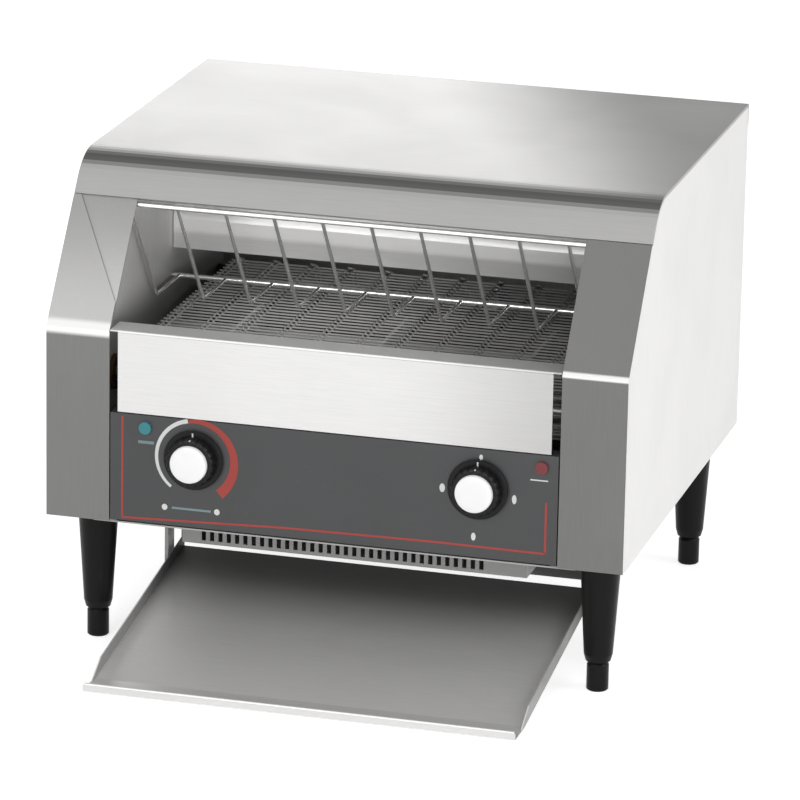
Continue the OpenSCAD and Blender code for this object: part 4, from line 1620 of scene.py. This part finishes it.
@dataclass(frozen=True)
class Softbox:
    """One square or oblong studio light."""

    name: str
    place: tuple[float, float, float]
    target: tuple[float, float, float]
    size: tuple[float, float]
    power: float

    def build(self) -> None:
        """Adds the light."""
        lamp = bpy.data.lights.new(self.name, "AREA")
        lamp.shape = "RECTANGLE"
        lamp.size, lamp.size_y = self.size
        lamp.energy = self.power
        light = bpy.data.objects.new(self.name, lamp)
        bpy.context.scene.collection.objects.link(light)
        light.location = self.place
        aim = Vector(self.target) - Vector(self.place)
        light.rotation_euler = aim.to_track_quat("-Z", "Y").to_euler()


@dataclass
class Studio:
    """White room, soft lights and the camera."""

    lens: float = 247.99
    camera_place: tuple[float, float, float] = (1.118589, -4.092, 1.480488)
    camera_turn: tuple[float, float, float] = (72.951854, -1.032887, 15.512276)
    floor_size: float = 24.0
    floor_tone: float = 0.86
    floor_glow: float = 0.66
    floor_mirrored: float = 0.85
    room_mirrored: float = 0.9
    ambient: float = 0.40
    lights: tuple[Softbox, ...] = (
        Softbox("key", (-0.9, -3.3, 1.7), (0.0, 0.0, 0.15), (1.6, 1.6), 34.0),
        Softbox("side", (2.6, -0.2, 1.2), (0.1, 0.0, 0.2), (1.6, 1.6), 16.0),
        Softbox("rear", (-0.42, 1.6, 0.86), (0.0, 0.0, 0.38), (0.9, 0.5), 4.0),
        Softbox("mouth", (1.0, -2.2, 0.66), (-0.05, 0.0, 0.3), (0.7, 0.5), 14.0),
    )

    def build(self) -> None:
        """Builds the room, the lights and the camera."""
        scene = bpy.context.scene
        scene.view_settings.view_transform = "Standard"
        self.build_world()
        self.build_floor()
        for light in self.lights:
            light.build()
        self.build_camera()

    def build_world(self) -> None:
        """Makes the room white to the camera and in reflections, and pale as a light."""
        world = bpy.data.worlds.new("white_room")
        bpy.context.scene.world = world
        world.use_nodes = True
        board = Board(world.node_tree)
        path = board.add("LightPath").outputs
        shown = board.math("MAXIMUM", path["Is Camera Ray"], path["Is Transmission Ray"])
        glossy = board.math("MULTIPLY", path["Is Glossy Ray"], self.room_mirrored)
        seen = board.math("MAXIMUM", shown, glossy)
        strength = board.math("MAXIMUM", seen, self.ambient)
        ground = world.node_tree.nodes["Background"]
        ground.inputs["Color"].default_value = (1.0, 1.0, 1.0, 1.0)
        board.tree.links.new(strength, ground.inputs["Strength"])

    def build_floor(self) -> None:
        """Adds the pale floor, which keeps the toaster's shadow."""
        shape = bmesh.new()
        bmesh.ops.create_grid(shape, x_segments=1, y_segments=1, size=self.floor_size / 2)
        mesh = bpy.data.meshes.new("floor")
        shape.to_mesh(mesh)
        shape.free()
        floor = bpy.data.objects.new("floor", mesh)
        bpy.context.scene.collection.objects.link(floor)
        material = bpy.data.materials.new("floor_paper")
        material.use_nodes = True
        board = Board(material.node_tree)
        shader = material.node_tree.nodes["Principled BSDF"]
        shader.inputs["Base Color"].default_value = (*[self.floor_tone] * 3, 1.0)
        shader.inputs["Roughness"].default_value = 0.9
        shader.inputs["Specular IOR Level"].default_value = 0.0
        path = board.add("LightPath").outputs
        mirrored = board.math("MAXIMUM", path["Is Glossy Ray"], path["Is Transmission Ray"])
        dimmed = board.math("MULTIPLY", mirrored, self.floor_mirrored)
        seen = board.math("MAXIMUM", path["Is Camera Ray"], dimmed)
        shader.inputs["Emission Strength"].default_value = self.floor_glow
        glow = board.tint(seen, (1.0, 1.0, 1.0))
        board.tree.links.new(glow, shader.inputs["Emission Color"])
        mesh.materials.append(material)

    def build_camera(self) -> None:
        """Adds the camera at the photograph's own angle."""
        data = bpy.data.cameras.new("camera")
        data.lens = self.lens
        data.sensor_width = 36.0
        data.clip_end = 60.0
        camera = bpy.data.objects.new("camera", data)
        bpy.context.scene.collection.objects.link(camera)
        camera.location = self.camera_place
        camera.rotation_euler = [math.radians(angle) for angle in self.camera_turn]
        bpy.context.scene.camera = camera


def main() -> None:
    """Builds the looks in order."""
    logging.basicConfig(level=logging.INFO, format="%(name)s: %(message)s")
    paints = Paintshop()
    paints.coat_solids(frame["record"])
    PrintedPanel().build(paints)
    Knob("speed", "speed_control", -112.0).build(paints)
    Knob("mode", "mode_control", 118.0).build(paints)
    WovenBelt().build(paints)
    BackTrim().build(paints)
    TrayTrim().build(paints)
    MouthTrim().build(paints)
    Studio().build()


if __name__ == "__main__":
    main()
